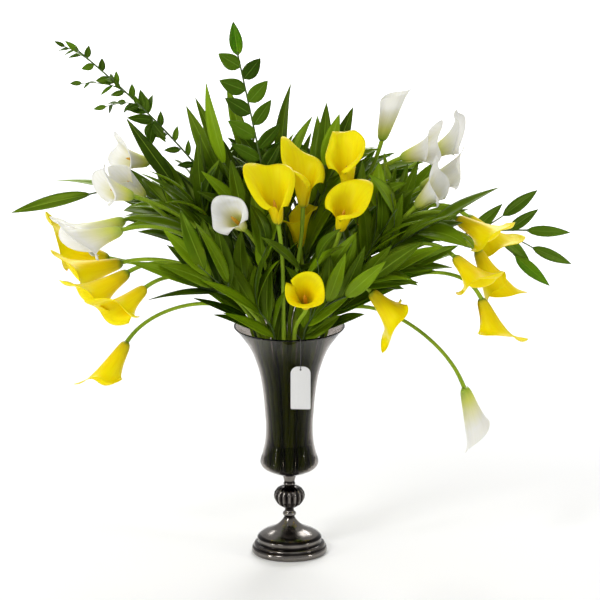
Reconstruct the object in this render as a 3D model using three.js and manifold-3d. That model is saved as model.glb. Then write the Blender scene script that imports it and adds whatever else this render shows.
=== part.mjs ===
// Calla lilies with leafy greenery in a footed, smoked-glass trumpet vase.
// Millimetres, +Z up. The origin is the middle of the flat underside of the foot. -Y is the front.
import * as THREE from "three";
import { mergeVertices } from "three/addons/utils/BufferGeometryUtils.js";
import Module from "manifold-3d";

const wasm = await Module();
wasm.setup();

// Driving dimensions of the vase
const RIM_HEIGHT = 420;
const RIM_RADIUS = 99;
const WAIST_HEIGHT = 233;
const WAIST_RADIUS = 42;
const BULGE_HEIGHT = 169;
const BULGE_RADIUS = 52;
const GLASS_WALL = 3.5;
const INNER_FLOOR = 156;
const INNER_FLOOR_RADIUS = 35;
const NECK_TOP = 144.4;
const NECK_RADIUS = 13.3;
const FOOT_RADIUS = 65;
const KNOP_BOTTOM = 84;
const KNOP_TOP = 122;
const KNOP_HEIGHT = 106.8;
const KNOP_RADIUS = 26.8;
const FLUTES = 16;
const WATER_LEVEL = 205;

// Driving dimensions of the flowers, the greenery and the tag
const CALLA_RADIUS = 3.9;
const CALLA_TOP_RADIUS = 3.4;
const LEAFY_RADIUS = 2.2;
const LEAFY_TIP_RADIUS = 1.6;
const SPATHE_THICKNESS = 0.8;
const SPATHE_BASE_RADIUS = 4.2;
const SHOOT_RADIUS = 1.8;
const LEAF_THICKNESS = 1.4;
const TAG_WIDTH = 35;
const TAG_HEIGHT = 78;
const TAG_THICKNESS = 0.8;
const STRING_RADIUS = 0.6;
const SEAT_GAP = 0.3;

const DEGREE = Math.PI / 180;
const UP = new THREE.Vector3(0, 0, 1);
const vector = ([x, y, z]) => new THREE.Vector3(x, y, z);
const mix = (a, b, t) => a + (b - a) * t;

// A repeatable run of numbers between 0 and 1.
const RUN_FACTOR = 16807;
const RUN_LENGTH = 2147483647;

function makeRandom(seed) {
  let state = seed;
  return () => {
    state = (state * RUN_FACTOR) % RUN_LENGTH;
    return state / RUN_LENGTH;
  };
}

// Closed geometry with shared vertices and no collapsed triangles.
const MERGE_DISTANCE = 1e-4;

function tidy(geometry) {
  const bare = new THREE.BufferGeometry();
  bare.setAttribute("position", geometry.getAttribute("position").clone());
  if (geometry.index) bare.setIndex(geometry.index.clone());
  const merged = mergeVertices(bare, MERGE_DISTANCE);
  const corners = merged.index.array;
  const kept = [];
  for (let i = 0; i < corners.length; i += 3) {
    const [a, b, c] = [corners[i], corners[i + 1], corners[i + 2]];
    if (a !== b && b !== c && c !== a) kept.push(a, b, c);
  }
  merged.setIndex(kept);
  return merged;
}

function toSolid(geometry) {
  const clean = tidy(geometry);
  return new wasm.Manifold(new wasm.Mesh({
    numProp: 3,
    vertProperties: new Float32Array(clean.getAttribute("position").array),
    triVerts: new Uint32Array(clean.index.array),
  }));
}

function toGeometry(solid) {
  const mesh = solid.getMesh();
  const geometry = new THREE.BufferGeometry();
  geometry.setAttribute("position", new THREE.BufferAttribute(new Float32Array(mesh.vertProperties), 3));
  geometry.setIndex(Array.from(mesh.triVerts));
  return geometry;
}

const join = (solids) => solids.reduce((whole, next) => whole.add(next));

// A solid of revolution about Z from [radius, height] points, listed up the outside and down the inside.
function lathe(profile, segments) {
  const points = profile.map(([radius, height]) => new THREE.Vector2(radius, height));
  return tidy(new THREE.LatheGeometry(points, segments).rotateX(Math.PI / 2));
}

// A closed skin over rings of equal length, each end capped by a fan.
function skin(rings) {
  const size = rings[0].length;
  const points = rings.flat();
  const corners = [];
  for (let k = 0; k < rings.length - 1; k += 1) {
    for (let i = 0; i < size; i += 1) {
      const next = (i + 1) % size;
      const [a, b] = [k * size + i, k * size + next];
      corners.push(a, b, b + size, a, b + size, a + size);
    }
  }
  const last = (rings.length - 1) * size;
  for (let i = 1; i < size - 1; i += 1) {
    corners.push(0, i + 1, i, last, last + i, last + i + 1);
  }
  const geometry = new THREE.BufferGeometry().setFromPoints(points);
  geometry.setIndex(corners);
  return geometry;
}

// A round bar along a line of points, its end cut square to endDirection.
function bar(points, radiusAt, sides, endDirection) {
  const directions = points.map((point, k) => {
    const before = points[Math.max(k - 1, 0)];
    const after = points[Math.min(k + 1, points.length - 1)];
    return after.clone().sub(before).normalize();
  });
  if (endDirection) directions[points.length - 1] = endDirection.clone().normalize();
  let side = new THREE.Vector3(1, 0, 0).addScaledVector(directions[0], -directions[0].x).normalize();
  const rings = points.map((point, k) => {
    side = side.clone().addScaledVector(directions[k], -side.dot(directions[k])).normalize();
    const across = directions[k].clone().cross(side);
    return Array.from({ length: sides }, (_, i) => {
      const turn = (i / sides) * 2 * Math.PI;
      return point.clone()
        .addScaledVector(side, radiusAt(k) * Math.cos(turn))
        .addScaledVector(across, radiusAt(k) * Math.sin(turn));
    });
  });
  return skin(rings);
}

// The room that is already taken, kept as balls [centre, radius, owner] in a grid of cells.
const CELL_SIZE = 16;

class Room {
  constructor() {
    this.cells = new Map();
  }

  cellsNear(point, reach) {
    const cellsAcross = (middle) => {
      const first = Math.floor((middle - reach) / CELL_SIZE);
      const last = Math.floor((middle + reach) / CELL_SIZE);
      return Array.from({ length: last - first + 1 }, (_, i) => first + i);
    };
    return cellsAcross(point.x).flatMap((i) => (
      cellsAcross(point.y).flatMap((j) => cellsAcross(point.z).map((k) => `${i},${j},${k}`))
    ));
  }

  take(balls, owner) {
    for (const [centre, radius] of balls) {
      for (const key of this.cellsNear(centre, radius)) {
        if (!this.cells.has(key)) this.cells.set(key, []);
        this.cells.get(key).push([centre, radius, owner]);
      }
    }
  }

  isFree(balls, owner) {
    return balls.every(([centre, radius]) => this.cellsNear(centre, radius).every((key) => (
      (this.cells.get(key) ?? []).every(([other, otherRadius, otherOwner]) => (
        otherOwner === owner || centre.distanceTo(other) > radius + otherRadius
      ))
    )));
  }
}

const room = new Room();

// The stems stand in eight clusters round the vase's middle, one for each eighth of a turn.
const CLUSTER_NAMES = [
  "right", "back_right", "back", "back_left", "left", "front_left", "front", "front_right",
];
const SHOULDER_HEIGHT = 320;
const SHOULDER_SPREAD = 1.27;
const MOUTH_HEIGHT = 428;
const MOUTH_SPREAD = 2.2;
const CLUSTER_RADIUS = 23.3;
const CLUSTER_TURN = 45;
const OUTER_RADIUS = 32;
const CALLA_PLACES = {
  inner: [14.5, 0],
  left: [CLUSTER_RADIUS, -9.8],
  right: [CLUSTER_RADIUS, 9.8],
  outer: [OUTER_RADIUS, 0],
  outerLeft: [OUTER_RADIUS, -8],
  outerRight: [OUTER_RADIUS, 8],
};
const LEAFY_RINGS = { middle: 0, inner: 6, between: 27, outer: OUTER_RADIUS };

function polar(radius, degrees, height) {
  return new THREE.Vector3(radius * Math.cos(degrees * DEGREE), radius * Math.sin(degrees * DEGREE), height);
}

// The line of a stem: its foot, its waist, a place where it begins to spread with the glass, and then an arc
// from the mouth of the vase to its end, which sideways and lift bow to pass what is already in its way.
const STEM_LEAN = 0.9;
const LEAN_EASE = 60;
const ARC_HANDLE = 0.35;
const TURN_PER_PIECE = 27 * DEGREE;
const ARC_START = 3;

function stemLine({ foot, waist, end, endDirection, sideways = 0, lift = 0 }) {
  const mouth = new THREE.Vector3(waist.x * MOUTH_SPREAD, waist.y * MOUTH_SPREAD, MOUTH_HEIGHT);
  const outward = new THREE.Vector3(end.x - mouth.x, end.y - mouth.y, 0);
  const across = outward.length();
  const rise = Math.max(end.z - mouth.z, 0);
  outward.normalize();
  const lean = (STEM_LEAN * across) / (across + rise + LEAN_EASE);
  const start = UP.clone().addScaledVector(outward, lean).normalize();
  const handle = ARC_HANDLE * end.distanceTo(mouth);
  const arc = new THREE.CubicBezierCurve3(
    mouth,
    mouth.clone().addScaledVector(start, handle),
    end.clone().addScaledVector(endDirection, -handle),
    end,
  );
  const count = 2 + Math.ceil(start.angleTo(endDirection) / TURN_PER_PIECE);
  const aside = outward.clone().cross(UP);
  const above = arc.getPoints(count).map((point, k) => {
    const bow = Math.sin((Math.PI * k) / count) ** 2;
    return point.addScaledVector(aside, sideways * bow).addScaledVector(UP, lift * bow);
  });
  const shoulder = new THREE.Vector3(waist.x * SHOULDER_SPREAD, waist.y * SHOULDER_SPREAD, SHOULDER_HEIGHT);
  return [foot, waist, shoulder, ...above];
}

const BALL_SPACING = 5;

function ballsAlong(points, radius) {
  const balls = [];
  for (let k = 0; k < points.length - 1; k += 1) {
    const count = Math.ceil(points[k].distanceTo(points[k + 1]) / BALL_SPACING);
    for (let i = 0; i < count; i += 1) balls.push([points[k].clone().lerp(points[k + 1], i / count), radius]);
  }
  balls.push([points[points.length - 1], radius]);
  return balls;
}

// The bows that are tried, each as sideways and lift.
const BOWS = [
  [0, 0], [9, 0], [-9, 0], [0, 10], [18, 0], [-18, 0], [0, -10], [28, 8], [-28, 8], [38, 0], [-38, 0],
];

// The first bow of a stem that leaves its neighbours clear.
function clearStemLine(plan, radius, owner) {
  for (const [sideways, lift] of BOWS) {
    const line = stemLine({ ...plan, sideways, lift });
    if (room.isFree(ballsAlong(line.slice(ARC_START), radius), owner)) return line;
  }
  return stemLine(plan);
}

// A calla bloom's sheet: u runs from its base to its rim, v round it, with 0 at its back.
// The slope grows along u, the margins are shorter than the back, and the last part of u rolls outwards.
const PROFILE_STEPS = 16;
const START_ANGLE = 9;
const SWELL_RADIUS = 4.2;
const SWELL_REACH = 4;
const FLARE_POWER = 2.6;
const OPEN_POWER = 2.2;
const TIP_WIDTH = 0.15;
const TIP_POWER = 1.3;
const ROLL_START = 0.72;
const RUFFLES = 7;
const WAVES = 9;

function spathePoint(bloom, u, v) {
  const side = Math.abs(v);
  const tip = Math.exp(-((Math.abs(v - bloom.tipAt) / TIP_WIDTH) ** TIP_POWER));
  const share = 1 - bloom.low * side ** 2 + bloom.ruffle * Math.cos(RUFFLES * v + bloom.phase);
  const reach = bloom.length * share + bloom.point * tip;
  const flare = mix(bloom.back, bloom.side, side);
  const roll = bloom.roll * side ** 2 + bloom.curl * tip;
  let radius = SPATHE_BASE_RADIUS + SWELL_RADIUS * (1 - Math.exp((-u * reach) / SWELL_REACH));
  let height = 0;
  for (let k = 0; k < PROFILE_STEPS; k += 1) {
    const along = (u * (k + 0.5)) / PROFILE_STEPS;
    const edge = Math.max(along - ROLL_START, 0) / (1 - ROLL_START);
    const angle = (START_ANGLE + (flare - START_ANGLE) * along ** FLARE_POWER + roll * edge ** 2) * DEGREE;
    radius += (Math.sin(angle) * reach * u) / PROFILE_STEPS;
    height += (Math.cos(angle) * reach * u) / PROFILE_STEPS;
  }
  height += bloom.wave * Math.sin(WAVES * v + bloom.length) * u ** 3;
  const turn = v * mix(180, bloom.open, u ** OPEN_POWER) * DEGREE;
  return new THREE.Vector3(radius * Math.cos(turn), radius * Math.sin(turn), height);
}

function bloomFrame(bloom) {
  const axis = vector(bloom.axis).normalize();
  const tip = vector(bloom.tip);
  tip.addScaledVector(axis, -tip.dot(axis)).normalize();
  const frame = new THREE.Matrix4().makeBasis(tip, axis.clone().cross(tip), axis);
  return frame.setPosition(vector(bloom.at));
}

const SPATHE_ROWS = [0, 0.45, 0.8, 1];
const SPATHE_COLUMNS = [-1, -0.62, -0.28, 0, 0.28, 0.62, 1];
const SLOPE_STEP = 0.02;
const SPADIX_FOOT = [2.7, 7];
const SPADIX_TIP = [1.7, 42];

// The sheet with its thickness, closed round its edge, and on its floor the spadix, all as one skin.
// At the base the margins meet, so the first and the last column share their points there.
function bloomGeometry(bloom) {
  const rows = SPATHE_ROWS.length;
  const columns = SPATHE_COLUMNS.length;
  const points = [];
  const corners = [];
  const face = [SPATHE_THICKNESS / 2, -SPATHE_THICKNESS / 2].map((offset) => SPATHE_ROWS.map((u, i) => (
    SPATHE_COLUMNS.map((v, j) => {
      if (i === 0 && j === columns - 1) return points.length - columns + 1;
      const upper = spathePoint(bloom, Math.min(u + SLOPE_STEP, 1), v);
      const lower = spathePoint(bloom, Math.max(u - SLOPE_STEP, 0), v);
      const across = spathePoint(bloom, u, v + SLOPE_STEP).sub(spathePoint(bloom, u, v - SLOPE_STEP));
      const normal = across.cross(upper.sub(lower)).normalize();
      if (i === 0) normal.setZ(0).normalize();
      points.push(spathePoint(bloom, u, v).addScaledVector(normal, offset));
      return points.length - 1;
    })
  )));
  const quad = (a, b, c, d) => corners.push(a, b, c, a, c, d);
  const [outer, inner] = face;
  for (let i = 0; i < rows - 1; i += 1) {
    for (let j = 0; j < columns - 1; j += 1) {
      quad(outer[i][j], outer[i][j + 1], outer[i + 1][j + 1], outer[i + 1][j]);
      corners.push(inner[i][j], inner[i + 1][j + 1], inner[i][j + 1]);
      corners.push(inner[i][j], inner[i + 1][j], inner[i + 1][j + 1]);
    }
    quad(outer[i][columns - 1], inner[i][columns - 1], inner[i + 1][columns - 1], outer[i + 1][columns - 1]);
    quad(outer[i + 1][0], inner[i + 1][0], inner[i][0], outer[i][0]);
  }
  const rim = rows - 1;
  for (let j = 0; j < columns - 1; j += 1) {
    quad(outer[rim][j], outer[rim][j + 1], inner[rim][j + 1], inner[rim][j]);
  }
  const spadix = [SPADIX_FOOT, SPADIX_TIP].map(([radius, height]) => SPATHE_COLUMNS.slice(1).map((v) => {
    points.push(new THREE.Vector3(radius * Math.cos(v * Math.PI), radius * Math.sin(v * Math.PI), height));
    return points.length - 1;
  }));
  const [foot, tip] = spadix;
  for (let j = 0; j < columns - 1; j += 1) {
    const before = (j + columns - 2) % (columns - 1);
    quad(inner[0][j], inner[0][j + 1], foot[j], foot[before]);
    quad(foot[before], foot[j], tip[j], tip[before]);
  }
  for (let j = 1; j < columns - 2; j += 1) {
    corners.push(tip[0], tip[j], tip[j + 1]);
    corners.push(outer[0][0], outer[0][j + 1], outer[0][j]);
  }
  const geometry = new THREE.BufferGeometry().setFromPoints(points);
  geometry.setIndex(corners);
  return geometry.applyMatrix4(bloomFrame(bloom));
}

// Balls over the sheet and through the cup, so that nothing grows into a bloom.
const BALL_ROWS = 7;
const BALL_COLUMNS = 8;
const BALL_SHELLS = [1, 0.62, 0.28];
const BLOOM_CLEARANCE = 4.2;

function bloomBalls(bloom) {
  const frame = bloomFrame(bloom);
  const balls = [];
  for (let i = 1; i <= BALL_ROWS; i += 1) {
    for (let j = -BALL_COLUMNS; j <= BALL_COLUMNS; j += 1) {
      const point = spathePoint(bloom, i / BALL_ROWS, j / BALL_COLUMNS);
      for (const share of BALL_SHELLS) {
        const ball = new THREE.Vector3(point.x * share, point.y * share, point.z);
        balls.push([ball.applyMatrix4(frame), BLOOM_CLEARANCE]);
      }
    }
  }
  return balls;
}

// The forms of a bloom. In degrees: the flare of the back and of the side margins, the curl of the tip, the
// roll of the margins, and the half turn that the sheet covers at the rim. low is the share that the margins
// are shorter, point the tip's length, tipAt its place, and wave, ruffle and phase shape the rim.
const OPEN = {
  length: 114, back: 22, side: 72, curl: 70, roll: 80, open: 140, wave: 3,
  low: 0.5, point: 14, tipAt: 0.0, ruffle: 0.05, phase: 0.0,
};
const WIDE = { ...OPEN, length: 96, back: 52, side: 76, curl: 50, roll: 50, low: 0.3, point: 10 };
const FUNNEL = { ...OPEN, length: 110, back: 38, side: 64, curl: 50, roll: 60, low: 0.32, point: 12 };
const HALF_OPEN = {
  ...OPEN, length: 104, back: 18, side: 36, curl: 50, roll: 50, open: 154, low: 0.36, point: 12,
};
const CLOSED = {
  ...OPEN, length: 104, back: 9, side: 6, curl: 20, roll: 10, open: 170, wave: 0,
  low: 0.3, point: 12, ruffle: 0,
};

// A bloom: its colour, its cluster (eighths of a turn from the right, seen from above) and place there, its
// base, the direction of its mouth, the side of its back, its form and what differs from the form.
const bloom = (colour, cluster, place, at, axis, tip, form, changes) => (
  { colour, cluster, place, at, axis, tip, ...form, ...changes }
);
const BLOOMS = [
  bloom("yellow", 6, "outerLeft", [-19, -110, 633], [-0.16, -0.06, 0.97], [-0.3, 0.95, 0], OPEN,
    { length: 110, tipAt: 0.2, ruffle: 0.09, phase: -2.4 }),
  bloom("yellow", 6, "inner", [24, -54, 650], [0.0, -0.04, 0.99], [-0.8, 0.6, 0], OPEN,
    { length: 114, point: 8, back: 16, ruffle: 0.07 }),
  bloom("yellow", 6, "right", [19, 14, 561], [-0.06, -0.3, 0.95], [0.8, -0.5, 0], HALF_OPEN,
    { length: 90, back: 34, side: 46, point: 2 }),
  bloom("yellow", 6, "outerRight", [30, -114, 486], [-0.06, -0.74, 0.66], [0.8, -0.3, -0.5], WIDE,
    { length: 74, low: 0.08, back: 58, side: 58, roll: 20, open: 172, ruffle: 0.07, phase: 2.0 }),
  bloom("yellow", 7, "inner", [102, -42, 677], [-0.04, -0.06, 0.99], [0.7, 0.7, 0], OPEN,
    { length: 100, tipAt: 0.5, point: 34, back: 18, curl: 50 }),
  bloom("yellow", 7, "left", [89, -84, 616], [0.16, -0.4, 0.9], [0.8, 0.55, 0.2], OPEN,
    { length: 98, point: 8, back: 42, low: 0.46 }),
  bloom("yellow", 7, "outer", [142, -90, 508], [0.64, 0.04, -0.76], [-0.78, -0.2, -0.6], WIDE,
    { length: 98, side: 84, back: 56, point: 16 }),
  bloom("yellow", 7, "right", [288, -95, 572], [0.6, -0.5, -0.56], [0.3, -0.3, 0.9], WIDE,
    { length: 96, curl: 90 }),
  bloom("yellow", 0, "left", [294, -28, 624], [0.8, -0.3, -0.4], [0.3, -0.2, 0.9], FUNNEL,
    { length: 96, curl: 90 }),
  bloom("yellow", 0, "outerLeft", [338, -50, 484], [0.36, -0.16, -0.88], [0.7, 0.1, 0.3], FUNNEL,
    { length: 92, point: 22, curl: 80 }),
  bloom("yellow", 0, "right", [332, 8, 558], [0.42, -0.2, -0.88], [-0.7, -0.2, -0.5], HALF_OPEN,
    { length: 96 }),
  bloom("yellow", 1, "outer", [316, 60, 606], [0.66, 0.1, -0.7], [0.7, 0, 0.7], FUNNEL, { length: 100 }),
  bloom("yellow", 1, "right", [340, 84, 528], [0.5, 0.1, -0.86], [0.7, 0, 0.7], HALF_OPEN, { length: 98 }),
  bloom("white", 0, "inner", [222, -48, 650], [0.62, -0.36, 0.7], [-0.6, 0.1, 0.7], OPEN,
    { length: 90, low: 0.4 }),
  bloom("white", 0, "outerRight", [311, -4, 308], [0.3, -0.12, -0.95], [-0.6, 0, 0], CLOSED,
    { length: 106, back: 8, side: 22, curl: 40 }),
  bloom("white", 1, "inner", [196, 16, 722], [0.9, -0.2, 0.36], [0.1, 0.4, 0.9], FUNNEL, { length: 84 }),
  bloom("white", 1, "left", [232, 48, 660], [0.9, 0.1, 0.4], [0, 0.4, 0.9], HALF_OPEN, { length: 94 }),
  bloom("white", 2, "inner", [164, 62, 744], [0.24, 0.04, 0.96], [0.7, 0, 0.2], CLOSED,
    { length: 94, back: 9, side: 12 }),
  bloom("white", 2, "left", [250, 108, 706], [0.8, -0.1, 0.5], [0.1, 0.1, 0.9], WIDE,
    { length: 86, point: 26, ruffle: 0.12, phase: 3.0 }),
  bloom("yellow", 2, "outer", [80, 235, 540], [0.2, 0.9, 0.2], [0.1, -0.3, 0.9], OPEN),
  bloom("white", 2, "right", [-70, 225, 540], [-0.2, 0.92, 0.2], [0, -0.3, 0.9], OPEN),
  bloom("yellow", 3, "outer", [-322, 78, 524], [-0.95, 0.1, 0.2], [-0.2, 0, 0.9], FUNNEL,
    { length: 112, point: 30 }),
  bloom("white", 3, "inner", [-250, 86, 698], [-0.86, -0.42, 0.26], [-0.2, 0, 0.9], WIDE,
    { length: 76, ruffle: 0.12, phase: 1.0 }),
  bloom("white", 3, "left", [-256, 4, 654], [-0.6, -0.3, 0.7], [-0.6, 0, 0.5], CLOSED, { length: 72 }),
  bloom("white", 4, "inner", [-272, -62, 672], [-0.86, -0.36, 0.34], [-0.1, 0, 0.9], WIDE,
    { length: 80, ruffle: 0.12, phase: 2.0 }),
  bloom("white", 4, "left", [-290, -8, 616], [-0.9, -0.3, -0.3], [-0.2, 0, 0.9], FUNNEL,
    { length: 116, ruffle: 0.1 }),
  bloom("yellow", 4, "right", [-296, 18, 532], [-0.94, -0.2, -0.2], [-0.4, 0, 0.9], FUNNEL,
    { length: 116 }),
  bloom("yellow", 4, "outer", [-288, -20, 396], [-0.5, -0.36, -0.78], [-0.75, 0, 0.4], FUNNEL,
    { length: 102, side: 34, back: 24 }),
  bloom("white", 5, "left", [-290, -128, 628], [-0.9, -0.36, -0.2], [0.1, 0.1, 0.9], FUNNEL,
    { length: 114, ruffle: 0.1, phase: 2.0 }),
  bloom("yellow", 5, "outerLeft", [-280, -110, 548], [-0.8, -0.4, -0.44], [-0.3, -0.1, 0.9], FUNNEL,
    { length: 114, back: 46 }),
  bloom("yellow", 5, "outerRight", [-250, -150, 530], [-0.66, -0.6, -0.44], [-0.5, 0.2, 0.8], FUNNEL,
    { length: 102, back: 46 }),
  bloom("white", 5, "inner", [-78, -96, 622], [-0.5, -0.6, 0.62], [-0.6, 0.3, 0.7], WIDE,
    { length: 70, point: 4, back: 56, low: 0.2 }),
];

// Calla stems: those of one cluster lean together at their cut ends, where they are one body.
const CONVERGE = 0.42;
const STEM_FOOT = INNER_FLOOR + SEAT_GAP;

function callaPlan(bloom) {
  const [radius, degrees] = CALLA_PLACES[bloom.place];
  const heading = bloom.cluster * CLUSTER_TURN;
  const waist = polar(radius, heading + degrees, WAIST_HEIGHT);
  const middle = polar(CLUSTER_RADIUS, heading, STEM_FOOT);
  const foot = middle.clone().lerp(waist.clone().setZ(STEM_FOOT), CONVERGE);
  const endDirection = vector(bloom.axis).normalize();
  const end = vector(bloom.at).addScaledVector(endDirection, -SEAT_GAP);
  return { foot, waist, end, endDirection };
}

// The bars keep one radius up to the mouth and taper from there.
const taper = (line, bottom, top) => (k) => (
  mix(bottom, top, Math.max(k - ARC_START, 0) / (line.length - 1 - ARC_START))
);
const CALLA_SIDES = 5;

function callaBar({ line, endDirection }) {
  return toSolid(bar(line, taper(line, CALLA_RADIUS, CALLA_TOP_RADIUS), CALLA_SIDES, endDirection));
}

for (const flower of BLOOMS) room.take(bloomBalls(flower), flower);
for (const flower of BLOOMS) {
  const plan = callaPlan(flower);
  flower.endDirection = plan.endDirection;
  flower.line = clearStemLine(plan, CALLA_RADIUS + SEAT_GAP, flower);
  room.take(ballsAlong(flower.line.slice(ARC_START), CALLA_RADIUS + SEAT_GAP), flower);
}

// The direction at an angle from one unit vector towards another at right angles to it.
function between(first, second, angle) {
  return first.clone().multiplyScalar(Math.cos(angle)).addScaledVector(second, Math.sin(angle));
}

// A leaf blade: t runs from its stalk to its tip, across from edge to edge, off is how far off its face.
const LEAF_FOLD = 0.28;
const LEAF_ROWS = [0.3, 0.66];
const LEAF_HEEL = 1;
const TIP_SHARE = 0.999;
const OUTLINE_SKEW = 0.75;
const OUTLINE_FULLNESS = 0.9;

function leafPoint(leaf, t, across, off = 0) {
  const bend = leaf.arch * t * DEGREE;
  const curve = Math.max(leaf.arch * DEGREE, 0.001);
  const middle = leaf.base.clone()
    .addScaledVector(leaf.direction, (leaf.length * Math.sin(bend)) / curve)
    .addScaledVector(leaf.up, (-leaf.length * (1 - Math.cos(bend))) / curve);
  const along = between(leaf.direction, leaf.up, -bend);
  const normal = between(leaf.up, leaf.direction, bend);
  const side = along.clone().cross(normal).applyAxisAngle(along, leaf.twist * t * DEGREE);
  normal.applyAxisAngle(along, leaf.twist * t * DEGREE);
  const outline = Math.sin(Math.PI * Math.min(t, TIP_SHARE) ** OUTLINE_SKEW) ** OUTLINE_FULLNESS;
  const half = (leaf.width / 2) * outline;
  return middle
    .addScaledVector(side, across * half)
    .addScaledVector(normal, Math.abs(across) * half * LEAF_FOLD + off);
}

// From a heel inside the stem, rings of left edge, upper midrib, right edge and lower midrib, to the tip.
function leafGeometry(leaf) {
  const points = [leaf.base.clone().addScaledVector(leaf.direction, -LEAF_HEEL)];
  for (const t of LEAF_ROWS) {
    points.push(leafPoint(leaf, t, -1));
    points.push(leafPoint(leaf, t, 0, LEAF_THICKNESS / 2));
    points.push(leafPoint(leaf, t, 1));
    points.push(leafPoint(leaf, t, 0, -LEAF_THICKNESS / 2));
  }
  points.push(leafPoint(leaf, 1, 0));
  const corners = [];
  for (let i = 0; i < 4; i += 1) corners.push(0, 1 + ((i + 1) % 4), 1 + i);
  for (const [edge, rib] of [[1, 2], [3, 2], [3, 4], [1, 4]]) {
    const quad = [rib, 4 + edge, edge, rib, 4 + rib, 4 + edge];
    corners.push(...((edge === 1) === (rib === 2) ? quad : quad.reverse()));
  }
  for (let i = 0; i < 4; i += 1) corners.push(5 + i, 5 + ((i + 1) % 4), 9);
  const geometry = new THREE.BufferGeometry().setFromPoints(points);
  geometry.setIndex(corners);
  return geometry;
}

const LEAF_CLEARANCE = 2.7;
const LEAF_BALL_SPACING = 7;
const LEAF_BALLS_ACROSS = [-1, -0.5, 0, 0.5, 1];

function leafBalls(leaf) {
  const rows = Math.ceil(leaf.length / LEAF_BALL_SPACING);
  return Array.from({ length: rows }, (_, i) => (i + 1) / rows).flatMap((t) => (
    LEAF_BALLS_ACROSS.map((across) => [leafPoint(leaf, t, across), LEAF_CLEARANCE])
  ));
}

// Seen from the front and a little above, no leaf stands before a bloom, and none points at the eye.
const EYE_HEIGHT = 15 * DEGREE;
const SIGHT = new THREE.Vector3(0, -Math.cos(EYE_HEIGHT), Math.sin(EYE_HEIGHT));
const SIGHT_UP = new THREE.Vector3(0, Math.sin(EYE_HEIGHT), Math.cos(EYE_HEIGHT));
const FACING_LIMIT = 0.75;
const BLOOM_MIDDLE = 0.6;
const BLOOM_SPREAD = 0.36;
const BEHIND_BLOOM = 10;

function hidesBloom(balls) {
  return BLOOMS.some(({ at, axis, length }) => {
    const centre = vector(at).addScaledVector(vector(axis).normalize(), length * BLOOM_MIDDLE);
    return balls.some(([point]) => {
      const apart = point.clone().sub(centre);
      const nearer = apart.dot(SIGHT) > -BEHIND_BLOOM;
      return nearer && Math.hypot(apart.x, apart.dot(SIGHT_UP)) < length * BLOOM_SPREAD;
    });
  });
}

// The place and direction at a share of the way along a line of points.
function placeOn(line, share) {
  const lengths = line.slice(1).map((point, k) => point.distanceTo(line[k]));
  let rest = share * lengths.reduce((sum, length) => sum + length, 0);
  let k = 0;
  while (k < lengths.length - 1 && rest > lengths[k]) {
    rest -= lengths[k];
    k += 1;
  }
  const direction = line[k + 1].clone().sub(line[k]).normalize();
  return { point: line[k].clone().addScaledVector(direction, Math.min(rest, lengths[k])), direction };
}

const TURN_TRIES = [0, 35, -35, 70, -70, 110, -110, 180];
const LENGTH_TRIES = [1, 0.82, 0.66];
const NEAR_NODE = 16;
const offNode = (balls, base) => balls.filter(([point]) => point.distanceTo(base) > NEAR_NODE);

// Leaves turn their upper faces to the light: those in front forwards and up, those behind backwards and up.
// All but the flat sprays fan out from a point in the vase.
const BACK_LEAVES = 70;
const LIGHT_ASIDE = 0.9;
const LIGHT_UP = 0.8;
const STEM_SIDE_SHARE = 0.5;
const FAN_CENTRE = new THREE.Vector3(0, 0, 330);

// The first turn and length of a leaf at a node that leave everything clear, or nothing.
function clearLeaf(plan, node, owner, taken) {
  const { point } = node;
  const lead = point.clone().sub(FAN_CENTRE).normalize().multiplyScalar(plan.fan)
    .add(node.direction).normalize();
  const reference = lead.clone().cross(SIGHT).normalize();
  const face = reference.clone().cross(lead);
  const angle = plan.angle * DEGREE;
  for (const share of LENGTH_TRIES) {
    for (const extra of TURN_TRIES) {
      const around = (plan.around + extra) * DEGREE;
      const outward = between(reference, face, around);
      const direction = between(lead, outward, angle);
      const inner = between(lead, outward, angle - 90 * DEGREE);
      const light = new THREE.Vector3(0, point.y < BACK_LEAVES ? -LIGHT_ASIDE : LIGHT_ASIDE, LIGHT_UP);
      const up = plan.flat ? face.clone() : inner.multiplyScalar(STEM_SIDE_SHARE).add(light);
      up.addScaledVector(direction, -up.dot(direction)).normalize();
      const leaf = { ...plan, base: point, direction, up, length: plan.length * share };
      const balls = leafBalls(leaf);
      const clear = direction.dot(SIGHT) <= FACING_LIMIT && room.isFree(balls, owner)
        && taken.isFree(offNode(balls, point), null) && !hidesBloom(balls);
      if (clear) return leaf;
      if (plan.flat) break;
    }
  }
  return null;
}

// The plan of a leafy stem, whose last leaf ends at its reach.
const REACH_CENTRE = new THREE.Vector3(0, 0, 400);
const LAST_LEAF_SHARE = 0.95;

function leafyPlan(stem) {
  const waist = polar(stem.ring, stem.toward, WAIST_HEIGHT);
  const reach = vector(stem.reach);
  const endDirection = reach.clone().sub(REACH_CENTRE).normalize().add(vector(stem.droop)).normalize();
  const end = reach.addScaledVector(endDirection, -stem.leafLength * LAST_LEAF_SHARE);
  return { foot: waist.clone().setZ(STEM_FOOT), waist, end, endDirection };
}

// The line of a side shoot, which leaves the main stem along it and whose last leaf ends at its reach.
const SHOOT_PIECES = 3;
const SHOOT_HANDLE = 0.4;

function shootLine(main, from, reach, leafLength) {
  const { point, direction } = placeOn(main, from);
  const heading = reach.clone().sub(point).normalize();
  const end = reach.clone().addScaledVector(heading, -leafLength * LAST_LEAF_SHARE);
  const handle = point.clone().addScaledVector(direction, point.distanceTo(end) * SHOOT_HANDLE);
  return new THREE.QuadraticBezierCurve3(point, handle, end).getPoints(SHOOT_PIECES);
}

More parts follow.
